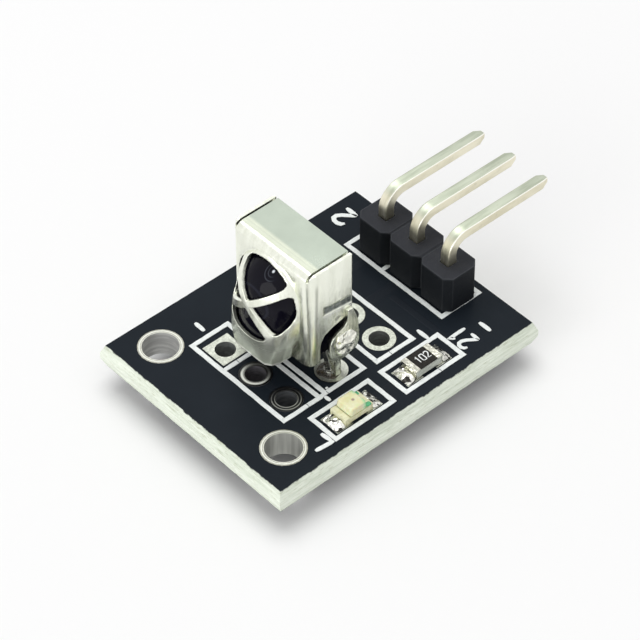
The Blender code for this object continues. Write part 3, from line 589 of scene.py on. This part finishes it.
# %% Sheet finish
def make_sheet():
    """Tinned sheet for the whole shield."""
    material, place = start_finish("sheet_tinned")
    x, z = place.parts("XZ")
    roof, side, near, swollen = shield_areas(place)
    lines = grain(place, 2.6, 4.0, 0.6, (1.0, 1.0, 0.12))
    smear = grain(place, 0.7, 3.0, 0.6, (1.0, 1.0, 0.6), 4.0)
    walls, scoop = wall_tone(place, lines, smear, side, swollen)
    colour = roof.blend(walls, roof_tone(place))
    colour, band = mark_near_side(place, colour, near, side, lines)
    level = z.rise(roof_z - 0.04, roof_z - 0.01) * x.rise(-2.85, -2.75)
    facing = level.blend_facing(round_edges(place, 0.07), facing_of(place, "True Normal"))
    texture = (smear * 0.7 + lines * 0.3) * (1.0 - roof.most(scoop * 0.7)) - band * 0.8
    return set_shader(material, Base_Color=colour, Metallic=1.0 - scoop * 0.35,
                      Roughness=0.16 + smear * 0.16, Normal=bump(texture, 0.05, facing))


sheet_finish = make_sheet()
print("sheet finish has", len(sheet_finish.node_tree.nodes), "nodes")

# %% [markdown]
# ## Dark epoxy
# The receiver's casting lets infrared through and looks black with a breath of purple.
# It is polished by its mould, and a faint circle round the lens is a painted reflection. A
# small painted highlight with two painted rings of reflection round it stands where the
# dome would catch a window. A low specular level keeps the casting from turning grey under
# a white sky.

# %% Epoxy finish
GLINT = (-3.53, -0.34, 8.97)
GLINT_RING_RADII = (0.34, 0.58)
GLINT_RING_SIDE = (3.0, 3.7)
REFLECTED_RING_RADIUS = 1.25


def make_epoxy():
    """Nearly black casting with a painted reflected ring, a painted highlight and two painted rings round
    it.
    """
    material, place = start_finish("epoxy_dark")
    x, y, z = place.parts()
    around = distance(y - shield_y, z - LENS_Z)
    # Painted reflection: a faint ring round the lens.
    ring = abs(around - REFLECTED_RING_RADIUS + grain(place, 0.8, 2.0) * 0.4).rise(0.12, 0.0)
    haze = grain(place, 1.1, 3.0)
    colour = haze.blend((0.0020, 0.0018, 0.0045), (0.0055, 0.005, 0.011))
    colour = (ring * 0.5).blend(colour, (0.022, 0.024, 0.038))
    from_glint = distance(x - GLINT[0], (y - GLINT[1]) * math.sqrt(2), z - GLINT[2])
    # Two painted rings of reflection round the highlight, on one side only.
    glint_rings = largest(abs(from_glint - radius).rise(0.06, 0.0) for radius in GLINT_RING_RADII)
    glint_rings = glint_rings * (y - x).rise(*GLINT_RING_SIDE)
    colour = (glint_rings * 0.5).blend(colour, (0.08, 0.09, 0.11))
    # Painted highlight where the dome would catch a window.
    colour = from_glint.rise(0.13, 0.05).blend(colour, (0.80, 0.85, 0.90))
    return set_shader(material, Base_Color=colour, Roughness=0.04 + haze * 0.08,
                      Specular_IOR_Level=0.12, Normal=bump(haze, 0.02))


epoxy_finish = make_epoxy()
print("epoxy finish has", len(epoxy_finish.node_tree.nodes), "nodes")

# %% [markdown]
# ## Moulded strip
# The header strip is glass-filled nylon. Its top is painted a dark grey as painted light,
# lighter than the blacker sides, and scuffs vary that grey. Worn edges are a shade lighter.
# The Bevel node rounds the facing near an edge, so where it differs from the real facing
# there is an edge, and that is where the wear goes.

# %% Strip finish
def make_strip():
    """Moulded black strip with its top painted lighter as painted light, scuffs and worn edges."""
    material, place = start_finish("strip_black")
    facing = facing_of(place)
    speck = grain(place, 9.0, 4.0, 0.7)
    scuff = grain(place, 1.4, 3.0, 0.6, shift=3.0)
    black = speck.blend((0.0045, 0.006, 0.008), (0.010, 0.012, 0.015))
    grey = scuff.blend((0.018, 0.020, 0.025), (0.034, 0.036, 0.044))
    # Painted light: faces that look up are painted lighter than the sides.
    colour = facing.parts("Z")[0].rise(0.4, 0.9).blend(black, grey)
    rounded = round_edges(place, 0.09)
    worn = (facing - rounded).length().rise(0.05, 0.5)
    colour = (worn * 0.6).blend(colour, (0.11, 0.12, 0.13))
    return set_shader(material, Base_Color=colour, Roughness=speck * 0.2 + 0.5, Specular_IOR_Level=0.16,
                      Normal=bump(speck * 0.5 + scuff * 0.5, 0.025, rounded))


strip_finish = make_strip()
print("strip finish has", len(strip_finish.node_tree.nodes), "nodes")

# %% [markdown]
# ## Plated pins
# The pins are drawn square wire with a pale champagne plating, so their streaks run along
# the wire. The top face is painted greener, a painted reflection of the ceiling, and the long
# edge between the top and the near side carries a painted highlight as a thin line. The
# Bevel node finds that edge: there the rounded facing points half up and half sideways.

# %% Pin finish
def make_pin_plating():
    """Champagne plating with drawn streaks, a painted reflection on its top and a painted highlight along
    its upper edge.
    """
    material, place = start_finish("pin_champagne")
    drawn = grain(place, 3.0, 3.0, 0.6, (0.12, 1.0, 0.3))
    spots = grain(place, 2.4, 3.0, 0.7, shift=6.0)
    side = drawn.rise(0.3, 0.7).blend((0.66, 0.62, 0.46), (0.86, 0.82, 0.66))
    # Painted reflection: the top face is painted greener and darker than the sides.
    over = drawn.rise(0.3, 0.7).blend((0.40, 0.44, 0.34), (0.55, 0.59, 0.48))
    colour = facing_of(place).parts("Z")[0].rise(0.55, 0.95).blend(side, over)
    colour = (spots.rise(0.6, 0.75) * 0.25).blend(colour, (0.34, 0.33, 0.25))
    rounded = round_edges(place, 0.07)
    sideways, upward = rounded.parts("YZ")
    # Painted highlight along the upper edge.
    ridge = upward.rise(0.2, 0.45) * upward.rise(0.96, 0.85) * sideways.rise(-0.15, -0.4)
    colour = ridge.blend(colour, (1.0, 0.99, 0.92))
    return set_shader(material, Base_Color=colour, Metallic=1.0, Roughness=0.28 + drawn * 0.14,
                      Normal=bump(drawn, 0.02, rounded))


pin_finish = make_pin_plating()
print("pin finish has", len(pin_finish.node_tree.nodes), "nodes")

# %% [markdown]
# ## Legs and lamp
# The receiver's legs are stamped from tinned strip, with streaks along them. The lamp is
# cloudy yellow epoxy over its chip, which shows as a dark speck. Green from the marks
# under it tints two of its corners. A little light that scatters inside makes it cloudy.

# %% Leg and lamp finishes
LAMP_SPECK, GREEN_END = (-2.62, -5.6), (-2.3, -2.0)
lamp_y = sum(corner.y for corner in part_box("lamp_lens")) / 2 / MM


def make_lead():
    """Tinned strip with streaks along the legs."""
    material, place = start_finish("lead_tinned")
    drawn = grain(place, 3.0, 3.0, 0.6, (1.0, 1.0, 0.15))
    colour = drawn.rise(0.3, 0.7).blend((0.42, 0.42, 0.38), (0.84, 0.85, 0.80))
    return set_shader(material, Base_Color=colour, Metallic=1.0, Roughness=0.2 + drawn * 0.15,
                      Normal=bump(drawn, 0.02, round_edges(place, 0.05)))


def make_lamp_lens():
    """Cloudy yellow epoxy with its speck, a breath of pink and two green corners."""
    material, place = start_finish("lamp_cloudy")
    x, y = place.parts("XY")
    cloud = grain(place, 2.2, 3.0)
    colour = cloud.rise(0.3, 0.7).blend((0.80, 0.78, 0.42), (0.88, 0.87, 0.62))
    end = (x + grain(place, 2.5, 2.0) * 0.3).rise(*GREEN_END)
    corners = end * abs(y - lamp_y).rise(0.12, 0.45)
    colour = (corners * 0.75).blend(colour, (0.20, 0.72, 0.36))
    speck = distance(x - LAMP_SPECK[0], y - LAMP_SPECK[1])
    colour = (speck.rise(0.13, 0.05) * 0.7).blend(colour, (0.30, 0.12, 0.16))
    pink = grain(place, 5.0, 2.0, 0.5, shift=8.0).rise(0.6, 0.72)
    colour = (pink * 0.15).blend(colour, (0.85, 0.58, 0.50))
    return set_shader(material, Base_Color=colour, Roughness=0.18 + cloud * 0.15,
                      Subsurface_Weight=0.3, Subsurface_Scale=0.3 * MM,
                      Normal=bump(cloud, 0.03, round_edges(place, 0.08)))


lead_finish = make_lead()
lens_finish = make_lamp_lens()
print("the lamp's middle is at y", round(lamp_y, 2), "mm")

# %% [markdown]
# ## Ceramic, glaze, ink and flux
# These small parts are matt and speckled, and differ in tone, scale and gloss, so one
# function makes them all. White ink is printed through a screen, so its face is matt and
# its tone uneven, and it cracks across where it passes over an edge of the mask.

# %% Speckled finishes
INK_CRACKS = ((1.88, -3.74), (3.0, -6.59), (-4.14, -3.6), (-4.76, 1.43), (-2.7, -3.74))
CRACK_HALF, CRACK_REACH = 0.018, 0.2


def make_speckled(name, dark, light, scale, rough, depth, edge, gloss=0.4, cracks=()):
    """A matt, speckled finish between two tones, with hairline cracks along Y at some places."""
    material, place = start_finish(name)
    speck = grain(place, scale, 4.0, 0.65)
    colour = speck.rise(0.3, 0.7).blend(dark, light)
    if cracks:
        x, y = place.parts("XY")
        waver = x + grain(place, 6.0, 2.0) * 0.12 - 0.06
        for crack in cracks:
            line = soft_box(waver, y, crack, CRACK_HALF, CRACK_REACH)
            colour = line.blend(colour, (0.05, 0.055, 0.06))
    return set_shader(material, Base_Color=colour, Roughness=speck * 0.2 + rough, Specular_IOR_Level=gloss,
                      Normal=bump(speck, depth, round_edges(place, edge)))


base_finish = make_speckled("lamp_laminate", (0.70, 0.68, 0.40), (0.86, 0.85, 0.62), 4.0, 0.45, 0.02, 0.04)
ceramic_finish = make_speckled("ceramic_grey", (0.42, 0.45, 0.40), (0.66, 0.69, 0.62), 8.0, 0.5, 0.02, 0.04)
glaze_finish = make_speckled("glaze_black", (0.010, 0.009, 0.007), (0.022, 0.020, 0.016), 5.0, 0.4, 0.01,
                             0.04, 0.15)
ink_finish = make_speckled("ink_white", (0.80, 0.84, 0.82), (0.94, 0.97, 0.96), 5.0, 0.5, 0.01, 0.03,
                           cracks=INK_CRACKS)
green_finish = make_speckled("mark_green", (0.05, 0.34, 0.16), (0.14, 0.55, 0.26), 7.0, 0.35, 0.02, 0.03)
flux_finish = make_speckled("flux_brown", (0.008, 0.006, 0.003), (0.06, 0.045, 0.022), 4.0, 0.05, 0.12,
                            0.03, 0.6)
print("cracks in the ink:", len(INK_CRACKS))

# %% [markdown]
# ## Put the finishes on the solids
# Each solid keeps its shape and only changes its skin. Their names say what they are, so
# instead of dressing all of them by hand, a solid takes the first finish in our table whose
# start its name begins with. What is left are the plain rings and pads.

# %% Dress the solids
FINISH_OF = (
    ("mounting_ring_1", mount_plating[0]), ("mounting_ring_2", mount_plating[1]),
    ("spare_ring_2", dark_reflection_plating_2), ("spare_ring_3", dark_reflection_plating_3), ("receiver_ring_3", flux_plating),
    ("circuit_board", board_finish), ("header_housing", strip_finish), ("header_pin", pin_finish),
    ("header_solder", cone_finish), ("receiver_solder", cone_finish), ("receiver_shield", sheet_finish),
    ("receiver_body", epoxy_finish), ("receiver_lead", lead_finish), ("lamp_base", base_finish),
    ("lamp_lens", lens_finish), ("lamp_terminal", base_finish), ("resistor_terminal", cap_finish),
    ("resistor_ceramic", ceramic_finish), ("resistor_coat", glaze_finish), ("outline", ink_finish),
)

for name, node in nodes.items():
    finishes = [finish for start, finish in FINISH_OF if name.startswith(start)]
    node.data.materials[0] = finishes[0] if finishes else row_plating
print("finishes in use:", len({node.data.materials[0].name for node in nodes.values()}))

# %% [markdown]
# ## Weld and smooth
# The loaded solids come as loose triangles. A chain of geometry nodes drops their stored
# facing, merges the split corners, and marks edges sharper than a limit as crisp, all as a
# modifier that leaves the mesh itself alone. On small parts a bevel after it rounds those
# edges by a tenth of a millimetre at most, as a mould or a die does.

# %% A welding modifier
WELD_REACH = 0.001 * MM
CRISP_ANGLE = 38


def weld_group(limit):
    """Geometry nodes that weld a mesh and keep edges over a limit, in degrees, crisp."""
    group = bpy.data.node_groups.new(f"weld_{limit}", "GeometryNodeTree")
    group.interface.new_socket("Geometry", in_out="INPUT", socket_type="NodeSocketGeometry")
    group.interface.new_socket("Geometry", in_out="OUTPUT", socket_type="NodeSocketGeometry")
    start = Wire(group)
    loose = start.node("NodeGroupInput")
    bare = start.node("GeometryNodeRemoveAttribute", None, {"Geometry": loose, "Name": "custom_normal"})
    whole = start.node("GeometryNodeMergeByDistance", None, {"Geometry": bare, "Distance": WELD_REACH})
    smooth = start.node("GeometryNodeSetShadeSmooth", {"domain": "FACE"},
                        {"Geometry": whole, "Shade Smooth": True})
    angle = start.node("GeometryNodeInputMeshEdgeAngle")
    sharp = start.node("FunctionNodeCompare", {"data_type": "FLOAT", "operation": "GREATER_THAN"},
                       {0: angle, 1: math.radians(limit)})
    crisp = start.node("GeometryNodeSetShadeSmooth", {"domain": "EDGE"},
                       {"Geometry": smooth, "Selection": sharp, "Shade Smooth": False})
    start.node("NodeGroupOutput", None, {0: crisp})
    return group


crisp_weld = weld_group(CRISP_ANGLE)


def soften(name, width):
    """Weld a solid, and round its sharp edges where the width, in millimetres, isn't 0."""
    node = nodes[name]
    weld = node.modifiers.new("weld", "NODES")
    weld.node_group = crisp_weld
    if width:
        bevel = node.modifiers.new("bevel", "BEVEL")
        bevel.width = width * MM
        bevel.segments = 2
        bevel.limit_method = "ANGLE"
        bevel.angle_limit = math.radians(CRISP_ANGLE)


BEVELS = {"header_pin": 0.05, "header_housing": 0.05, "receiver_lead": 0.04, "lamp_lens": 0.10,
          "resistor": 0.03, "lamp_base": 0.03, "lamp_terminal": 0.03}
for name in nodes:
    width = next((size for start, size in BEVELS.items() if name.startswith(start)), 0.0)
    if name != "circuit_board" and not name.startswith("outline"):
        soften(name, width)
print("welded", sum(bool(node.modifiers) for node in nodes.values()), "solids")

# %% [markdown]
# ## One builder for all that is lumpy
# Solder, flux and small drops are low domes with an uneven rim. Sculpting or metaballs
# would give such forms too, but not twice the same. So we lay rings of points between a
# middle and a rim, lift them by a height function, and close the foot. A place function
# then turns each point to where it lies, so one builder serves flat pads and upright
# plates.

# %% Lumps
TURNS, RINGS = 72, 22


def wobble(x, y, z, scale):
    """Smooth noise between about -1 and 1 at a place in millimetres."""
    return noise.noise(Vector((x, y, z)) * scale)


def add_piece(name, bm, material, smooth=True):
    """Make one piece of the scene from a bmesh in millimetres and let it ride on the board."""
    bmesh.ops.recalc_face_normals(bm, faces=bm.faces)
    bmesh.ops.scale(bm, vec=(MM, MM, MM), verts=bm.verts)
    mesh = bpy.data.meshes.new(name)
    bm.to_mesh(mesh)
    bm.free()
    mesh.materials.append(material)
    for face in mesh.polygons:
        face.use_smooth = smooth
    piece = bpy.data.objects.new(name, mesh)
    bpy.context.scene.collection.objects.link(piece)
    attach(piece, "root")
    return piece


def superellipse(half_u, half_v, power):
    """How far a rounded rectangle reaches from its middle in each direction."""

    def reach(turn):
        across, along = abs(math.cos(turn) / half_u), abs(math.sin(turn) / half_v)
        return (across ** power + along ** power) ** (-1 / power)

    return reach


def add_lump(name, reach, height, place, material, turns=TURNS, rings=RINGS):
    """A closed dome. Its rim follows reach(turn), and height(u, v) lifts it off its foot."""
    bm = bmesh.new()
    top = bm.verts.new(place(0, 0, height(0, 0)))
    foot = bm.verts.new(place(0, 0, 0))
    loops = []
    for k in range(1, rings + 1):
        out = k / rings
        edge = math.sqrt(max(0.0, 1 - out ** 4))
        loop = []
        for i in range(turns):
            turn = math.tau * i / turns
            u, v = (out * reach(turn) * f(turn) for f in (math.cos, math.sin))
            loop.append(bm.verts.new(place(u, v, edge * height(u, v))))
        loops.append(loop)
    for i in range(turns):
        j = (i + 1) % turns
        bm.faces.new((top, loops[0][i], loops[0][j]))
        bm.faces.new((foot, loops[-1][j], loops[-1][i]))
        for inner, outer in zip(loops, loops[1:]):
            bm.faces.new((inner[i], outer[i], outer[j], inner[j]))
    return add_piece(name, bm, material)


def lying_at(middle):
    """The place function of a lump that lies flat round a point."""
    return lambda u, v, h: middle + Vector((u, v, h))


print("a lump has", 2 * TURNS * RINGS, "triangles")

# %% [markdown]
# ## Solder at the ends of the two chips
# Paste solder melts, climbs the end cap and pulls down to the rim of the pad. The height
# follows that: low at the pad's outer edge, highest at the cap, and short of the cap's
# top. A smooth ramp would look moulded, and lumps on it give the joint's broken glitter.

# %% Chip joints
CLIMB_SHARE = 0.72
TOE_HEIGHT = 0.10


def chip_joint(chip, number):
    """Replace one plain wedge and its look by a lumpy joint between the pad and the cap."""
    wedge, cap, pad = (f"{chip}_{part}_{number}" for part in ("solder", "terminal", "pad"))
    pad_low, pad_high = (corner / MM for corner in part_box(pad))
    cap_low, cap_high = (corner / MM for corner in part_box(cap))
    way = 1 if number == 2 else -1
    toe = pad_high.x if way > 0 else pad_low.x
    end = cap_high.x if way > 0 else cap_low.x
    inner = end - way * 0.03
    centre = Vector(((toe + inner) / 2, (pad_low.y + pad_high.y) / 2, pad_high.z))
    half_u, half_v = abs(toe - inner) / 2 + 0.02, (pad_high.y - pad_low.y) / 2 - 0.01
    top = (cap_high.z - pad_high.z) * CLIMB_SHARE

    def height(u, v):
        x = centre.x + u
        climb = min(1.0, max(0.0, (toe - x) * way / abs(toe - end)))
        over = max(0.0, (end - x) * way)
        lift = TOE_HEIGHT + (top - 0.12) * climb ** 1.2 - over * 0.4
        lift *= 1 + 0.34 * wobble(x, v, 3 * number, 2.6) + 0.10 * wobble(x, v, 7, 6.0)
        return max(0.02, min(top + 0.04, lift)) * (1 - 0.35 * abs(v / half_v) ** 4)

    rim = superellipse(half_u, half_v, 5)
    piece = add_lump(f"{chip}_joint_{number}", rim, height, lying_at(centre), solder_finish)
    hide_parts(wedge)
    return piece


joints = [chip_joint(chip, number) for chip in ("lamp", "resistor") for number in (1, 2)]
print("chip joints:", [joint.name for joint in joints])

# %% [markdown]
# ## Solder over the ground tab
# The tab on the shield's side was soldered by hand, so a rough blob covers its round
# paddle. It is one of the brightest, busiest spots on the module, so the bumps of a finish
# alone would look too flat. The same builder stands it upright against the tab.

# %% Tab solder
TAB_MIDDLE = Vector((-0.84, 0.0, 3.82))
tab_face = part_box("receiver_shield")[0].y / MM


def tab_height(u, v):
    x, z = TAB_MIDDLE.x + u, TAB_MIDDLE.z + v
    lumps = 0.85 * wobble(x, 2.0, z, 2.1) + 0.15 * wobble(x, 5.0, z, 4.0)
    return max(0.015, 0.22 + 0.30 * lumps)


def tab_reach(turn):
    round_part = superellipse(0.78, 0.86, 2.4)(turn)
    return round_part * (1 + 0.05 * math.sin(3 * turn + 1) + 0.03 * math.sin(7 * turn))


def tab_place(u, v, h):
    return Vector((TAB_MIDDLE.x + u, tab_face + 0.01 - h, TAB_MIDDLE.z + v))


tab_solder = add_lump("ground_tab_solder", tab_reach, tab_height, tab_place, tab_finish, 96, 34)
print(tab_solder.name, "stands on y", round(tab_face, 2), "mm")

# %% [markdown]
# ## Flux round the receiver's third leg
# Resin flux boils out of a hand-soldered joint and sets as a brown glassy puddle. Ours
# lies on the leg's ring, a few hundredths of a millimetre thick. Colour alone could stain
# the ring, but the puddle's glossy rim needs a form that catches the light.

# %% Flux puddle
ring_low, ring_high = (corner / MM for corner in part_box("receiver_ring_3"))
flux_middle = (ring_low + ring_high) / 2
flux_middle.z = ring_high.z - 0.005


def flux_reach(turn):
    return 0.68 + 0.03 * math.sin(3 * turn + 0.5) + 0.03 * math.sin(5 * turn) + 0.13 * math.cos(turn - 2.7)


def flux_height(u, v):
    return 0.05 + 0.04 * wobble(u, v, 1.0, 3.0)


add_lump("receiver_flux", flux_reach, flux_height, lying_at(flux_middle), flux_finish, 48, 12)
print("flux lies at z", round(flux_middle.z, 2), "mm")

# %% [markdown]
# ## Green marks on the lamp
# A surface-mounted lamp shows its minus end by two green dots. They sit on the corners
# of the end cap away from the lens end of the board. They are thick drops of paint, so two
# small lumps suit them better than spots in the cap's colour.

# %% Lamp marks
cap_low, cap_high = (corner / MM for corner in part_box("lamp_terminal_2"))


def add_mark(number, y):
    """One green drop near the corner of the lamp's end cap."""
    place = lying_at(Vector((cap_low.x + 0.10, y, cap_high.z - 0.01)))
    rim = superellipse(0.20, 0.15, 3)

    def height(u, v):
        return 0.06 + 0.02 * wobble(u, v, number, 4.0)

    return add_lump(f"lamp_mark_{number}", rim, height, place, green_finish, 32, 8)


marks = [add_mark(1, cap_high.y - 0.13), add_mark(2, cap_low.y + 0.13)]
print("lamp marks:", [mark.name for mark in marks])

# %% [markdown]
# ## Printed lines
# Screen-printed lines have a slightly wavy edge. A curve with a bevel would be too even, so
# a stroke follows a path of points, turns each corner with a mitre, and varies its width a
# little. The rectangles round the parts, the dashes and the digits are all strokes.
# Where two strokes cross, one is a few thousandths of a millimetre higher, so that their
# tops never share a plane, which would render as dark squares.

# %% Strokes
INK_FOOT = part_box("outline_rear")[0].z / MM
INK_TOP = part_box("outline_rear")[1].z / MM


def dense_path(points, closed, step=0.13):
    """The corners of a path and points at short, even distances between them."""
    path = [Vector(point) for point in points] + ([Vector(points[0])] if closed else [])
    dense = [path[0]]
    for a, b in zip(path, path[1:]):
        parts = max(1, math.floor((b - a).length / step))
        dense += [a.lerp(b, k / parts) for k in range(1, parts + 1)]
    return dense[:-1] if closed else dense


def add_stroke(bm, points, width, closed=False, foot=INK_FOOT, top=INK_TOP):
    """A thin printed line along a path on the board."""
    path = dense_path(points, closed)
    count = len(path)
    rows = []
    for i, point in enumerate(path):
        before = path[i - 1] if closed or i else path[0]
        after = path[(i + 1) % count] if closed or i < count - 1 else path[-1]
        into, out = (point - before).normalized(), (after - point).normalized()
        along = (into + out).normalized()
        side = Vector((-along.y, along.x)) / max(0.6, along.dot(out if out.length else into))
        uneven = 0.10 * wobble(point.x, point.y, 0.0, 2.5) + 0.05 * wobble(point.x, point.y, 4.0, 9.0)
        half = width / 2 * (1 + uneven)
        if not closed:
            near_end = min(i, count - 1 - i)
            half *= (0.55, 0.9)[near_end] if near_end < 2 else 1.0
        shift = side * 0.02 * wobble(point.x, point.y, 8.0, 1.1)
        left, right = point + shift + side * half, point + shift - side * half
        corners = ((left, foot), (left, top), (right, top), (right, foot))
        rows.append([bm.verts.new((p.x, p.y, z)) for p, z in corners])
    for i in range(count if closed else count - 1):
        row, other = rows[i], rows[(i + 1) % count]
        for k in range(4):
            j = (k + 1) % 4
            bm.faces.new((row[k], row[j], other[j], other[k]))
    if not closed:
        bm.faces.new(rows[0])
        bm.faces.new(rows[-1][::-1])


FRAME_WIDTH, FRAME_INSET = 0.28, 0.12
OVER_PRINT = 0.003


def print_frame(name, divider=None):
    """Draw a printed rectangle over the plain solid one, and hide that."""
    low, high = (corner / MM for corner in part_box(name))
    west, east = low.x + FRAME_INSET, high.x - FRAME_INSET
    south, north = low.y + FRAME_INSET, high.y - FRAME_INSET
    bm = bmesh.new()
    add_stroke(bm, [(west, south), (east, south), (east, north), (west, north)], FRAME_WIDTH, closed=True)
    if divider is not None:
        add_stroke(bm, [(west, divider), (east, divider)], FRAME_WIDTH * 0.95, top=INK_TOP + OVER_PRINT)
    piece = add_piece(f"ink_{name}", bm, ink_finish, smooth=False)
    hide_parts(name)
    return piece


DIVIDER_Y = 1.41
frames = [print_frame(name, DIVIDER_Y if name in ("outline_spare", "outline_header") else None)
          for name in sorted(nodes) if name.startswith("outline")]
print("printed frames:", len(frames))

# %% [markdown]
# ## Dashes and digits
# The board also carries short marks, and plain numbers beside the header and the resistor.
# A font's digits would look too clean beside the wavy lines. A digit of ours is a few
# strokes in a box one unit wide and two high, turned so that it reads along the board.

# %% Marks and numbers
DIGITS = {
    "0": [[(0.15, 0.0), (0.85, 0.0), (1.0, 0.3), (1.0, 1.7), (0.85, 2.0), (0.15, 2.0), (0.0, 1.7),
           (0.0, 0.3), (0.15, 0.0)]],
    "1": [[(0.15, 1.6), (0.55, 2.0), (0.55, 0.0)]],
    "2": [[(0.0, 1.55), (0.12, 1.85), (0.4, 2.0), (0.7, 1.97), (0.93, 1.75), (0.95, 1.4), (0.75, 1.0),
           (0.35, 0.5), (0.0, 0.1)], [(0.0, 0.06), (1.05, 0.06)]],
}
DIGIT_STEP = 1.4
DASHES = (((7.14, -5.32), (7.15, -6.22)), ((-4.58, 5.28), (-4.60, 4.45)), ((4.18, -3.44), (4.18, -4.35)),
          ((-6.06, -6.42), (-4.84, -6.52)), ((-4.99, -5.68), (-4.92, -6.45)),
          ((-3.34, -3.62), (-2.66, -3.60)), ((-3.0, -3.75), (-3.0, -4.2)), ((-2.5, -3.3), (-2.5, -3.42)))
DASH_WIDTH = 0.26


def write_digits(bm, text, corner, across, size, width, foot, top, wide=1.0):
    """Strokes for a number. Across points along its line, size is its height and wide stretches it."""
    along = Vector(across).normalized()
    upward = Vector((-along.y, along.x))
    unit = size / 2
    for place, digit in enumerate(text):
        for stroke in DIGITS[digit]:
            start = Vector(corner) + along * unit * DIGIT_STEP * wide * place
            path = [start + along * unit * wide * x + upward * unit * y for x, y in stroke]
            add_stroke(bm, path, width, foot=foot, top=top)


def add_marks():
    """Every loose mark on the board's face, as one printed piece."""
    bm = bmesh.new()
    for number, ends in enumerate(DASHES):
        add_stroke(bm, ends, DASH_WIDTH, top=INK_TOP + OVER_PRINT * (1 + number % 3))
    write_digits(bm, "2", (8.00, 5.64), (0, 1), 1.28, 0.28, INK_FOOT, INK_TOP, 1.35)
    write_digits(bm, "21", (6.24, -6.28), (0, 1), 1.2, 0.22, INK_FOOT, INK_TOP)
    return add_piece("ink_marks", bm, ink_finish, smooth=False)


def add_code():
    """The number printed on the resistor's glaze."""
    low, high = (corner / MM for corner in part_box("resistor_coat"))
    bm = bmesh.new()
    corner = (low.x + 0.22, low.y + 0.38)
    write_digits(bm, "102", corner, (1, 0), 0.48, 0.07, high.z - 0.005, high.z + 0.008)
    return add_piece("resistor_code", bm, ink_finish, smooth=False)


printed = [add_marks(), add_code()]
print("printed:", [piece.name for piece in printed])

# %% [markdown]
# ## A white table and soft light
# The photo has a white table with only a breath of shadow. A bright sky alone would drown
# the shadow, so ours is white to the camera and to mirror-like metal, but dimmer as a
# light. A large round light high over the far side throws the shadow. A second one stands
# low at the lens end, where it lights the board's edge and only grazes the table.

# %% Stage and light
SKY_LIGHT = 0.62
TABLE_HALF = 1.5
TABLE_TONES = ((0.925, 0.925, 0.925), (0.93, 0.93, 0.93))


def make_sky():
    """White to the camera and to mirrors, and dimmer as a light."""
    world = bpy.data.worlds.new("sky")
    world.use_nodes = True
    world.node_tree.nodes.clear()
    start = Wire(world.node_tree)
    rays = ("Is Camera Ray", "Is Glossy Ray", "Is Transmission Ray")
    seen = largest(start.node("ShaderNodeLightPath", out=ray) for ray in rays)
    strength = seen * (1.0 - SKY_LIGHT) + SKY_LIGHT
    sky = start.node("ShaderNodeBackground", None, {"Color": (1.0, 1.0, 1.0), "Strength": strength})
    start.node("ShaderNodeOutputWorld", None, {"Surface": sky})
    bpy.context.scene.world = world


def add_lamp(name, place, size, power):
    """A large round soft light that looks at the module."""
    data = bpy.data.lights.new(name, "AREA")
    data.shape = "DISK"
    data.size = size
    data.energy = power
    lamp = bpy.data.objects.new(name, data)
    lamp.location = place
    lamp.rotation_euler = (-Vector(place)).to_track_quat("-Z", "Y").to_euler()
    bpy.context.scene.collection.objects.link(lamp)
    return lamp


def add_table():
    """A white table under the lowest point of the module."""
    low = cad_box[0][2]
    bm = bmesh.new()
    corners = ((-1, -1), (1, -1), (1, 1), (-1, 1))
    bm.faces.new([bm.verts.new((x * TABLE_HALF, y * TABLE_HALF, low)) for x, y in corners])
    mesh = bpy.data.meshes.new("table")
    bm.to_mesh(mesh)
    bm.free()
    material, place = start_finish("table_white")
    tone = grain(place, 0.02, 2.0).blend(*TABLE_TONES)
    mesh.materials.append(set_shader(material, Roughness=0.9, Specular_IOR_Level=0.0, Base_Color=tone))
    table = bpy.data.objects.new("table", mesh)
    bpy.context.scene.collection.objects.link(table)


make_sky()
lights = [add_lamp("soft_light_above", (0.07, 0.15, 0.60), 0.50, 1.61),
          add_lamp("soft_light_low", (-0.62, -0.13, 0.16), 0.56, 1.75)]
add_table()
print("lights:", {light.name: round(light.location.length, 2) for light in lights}, "m away")

# %% [markdown]
# ## Sizes

# %% Sizes
import json
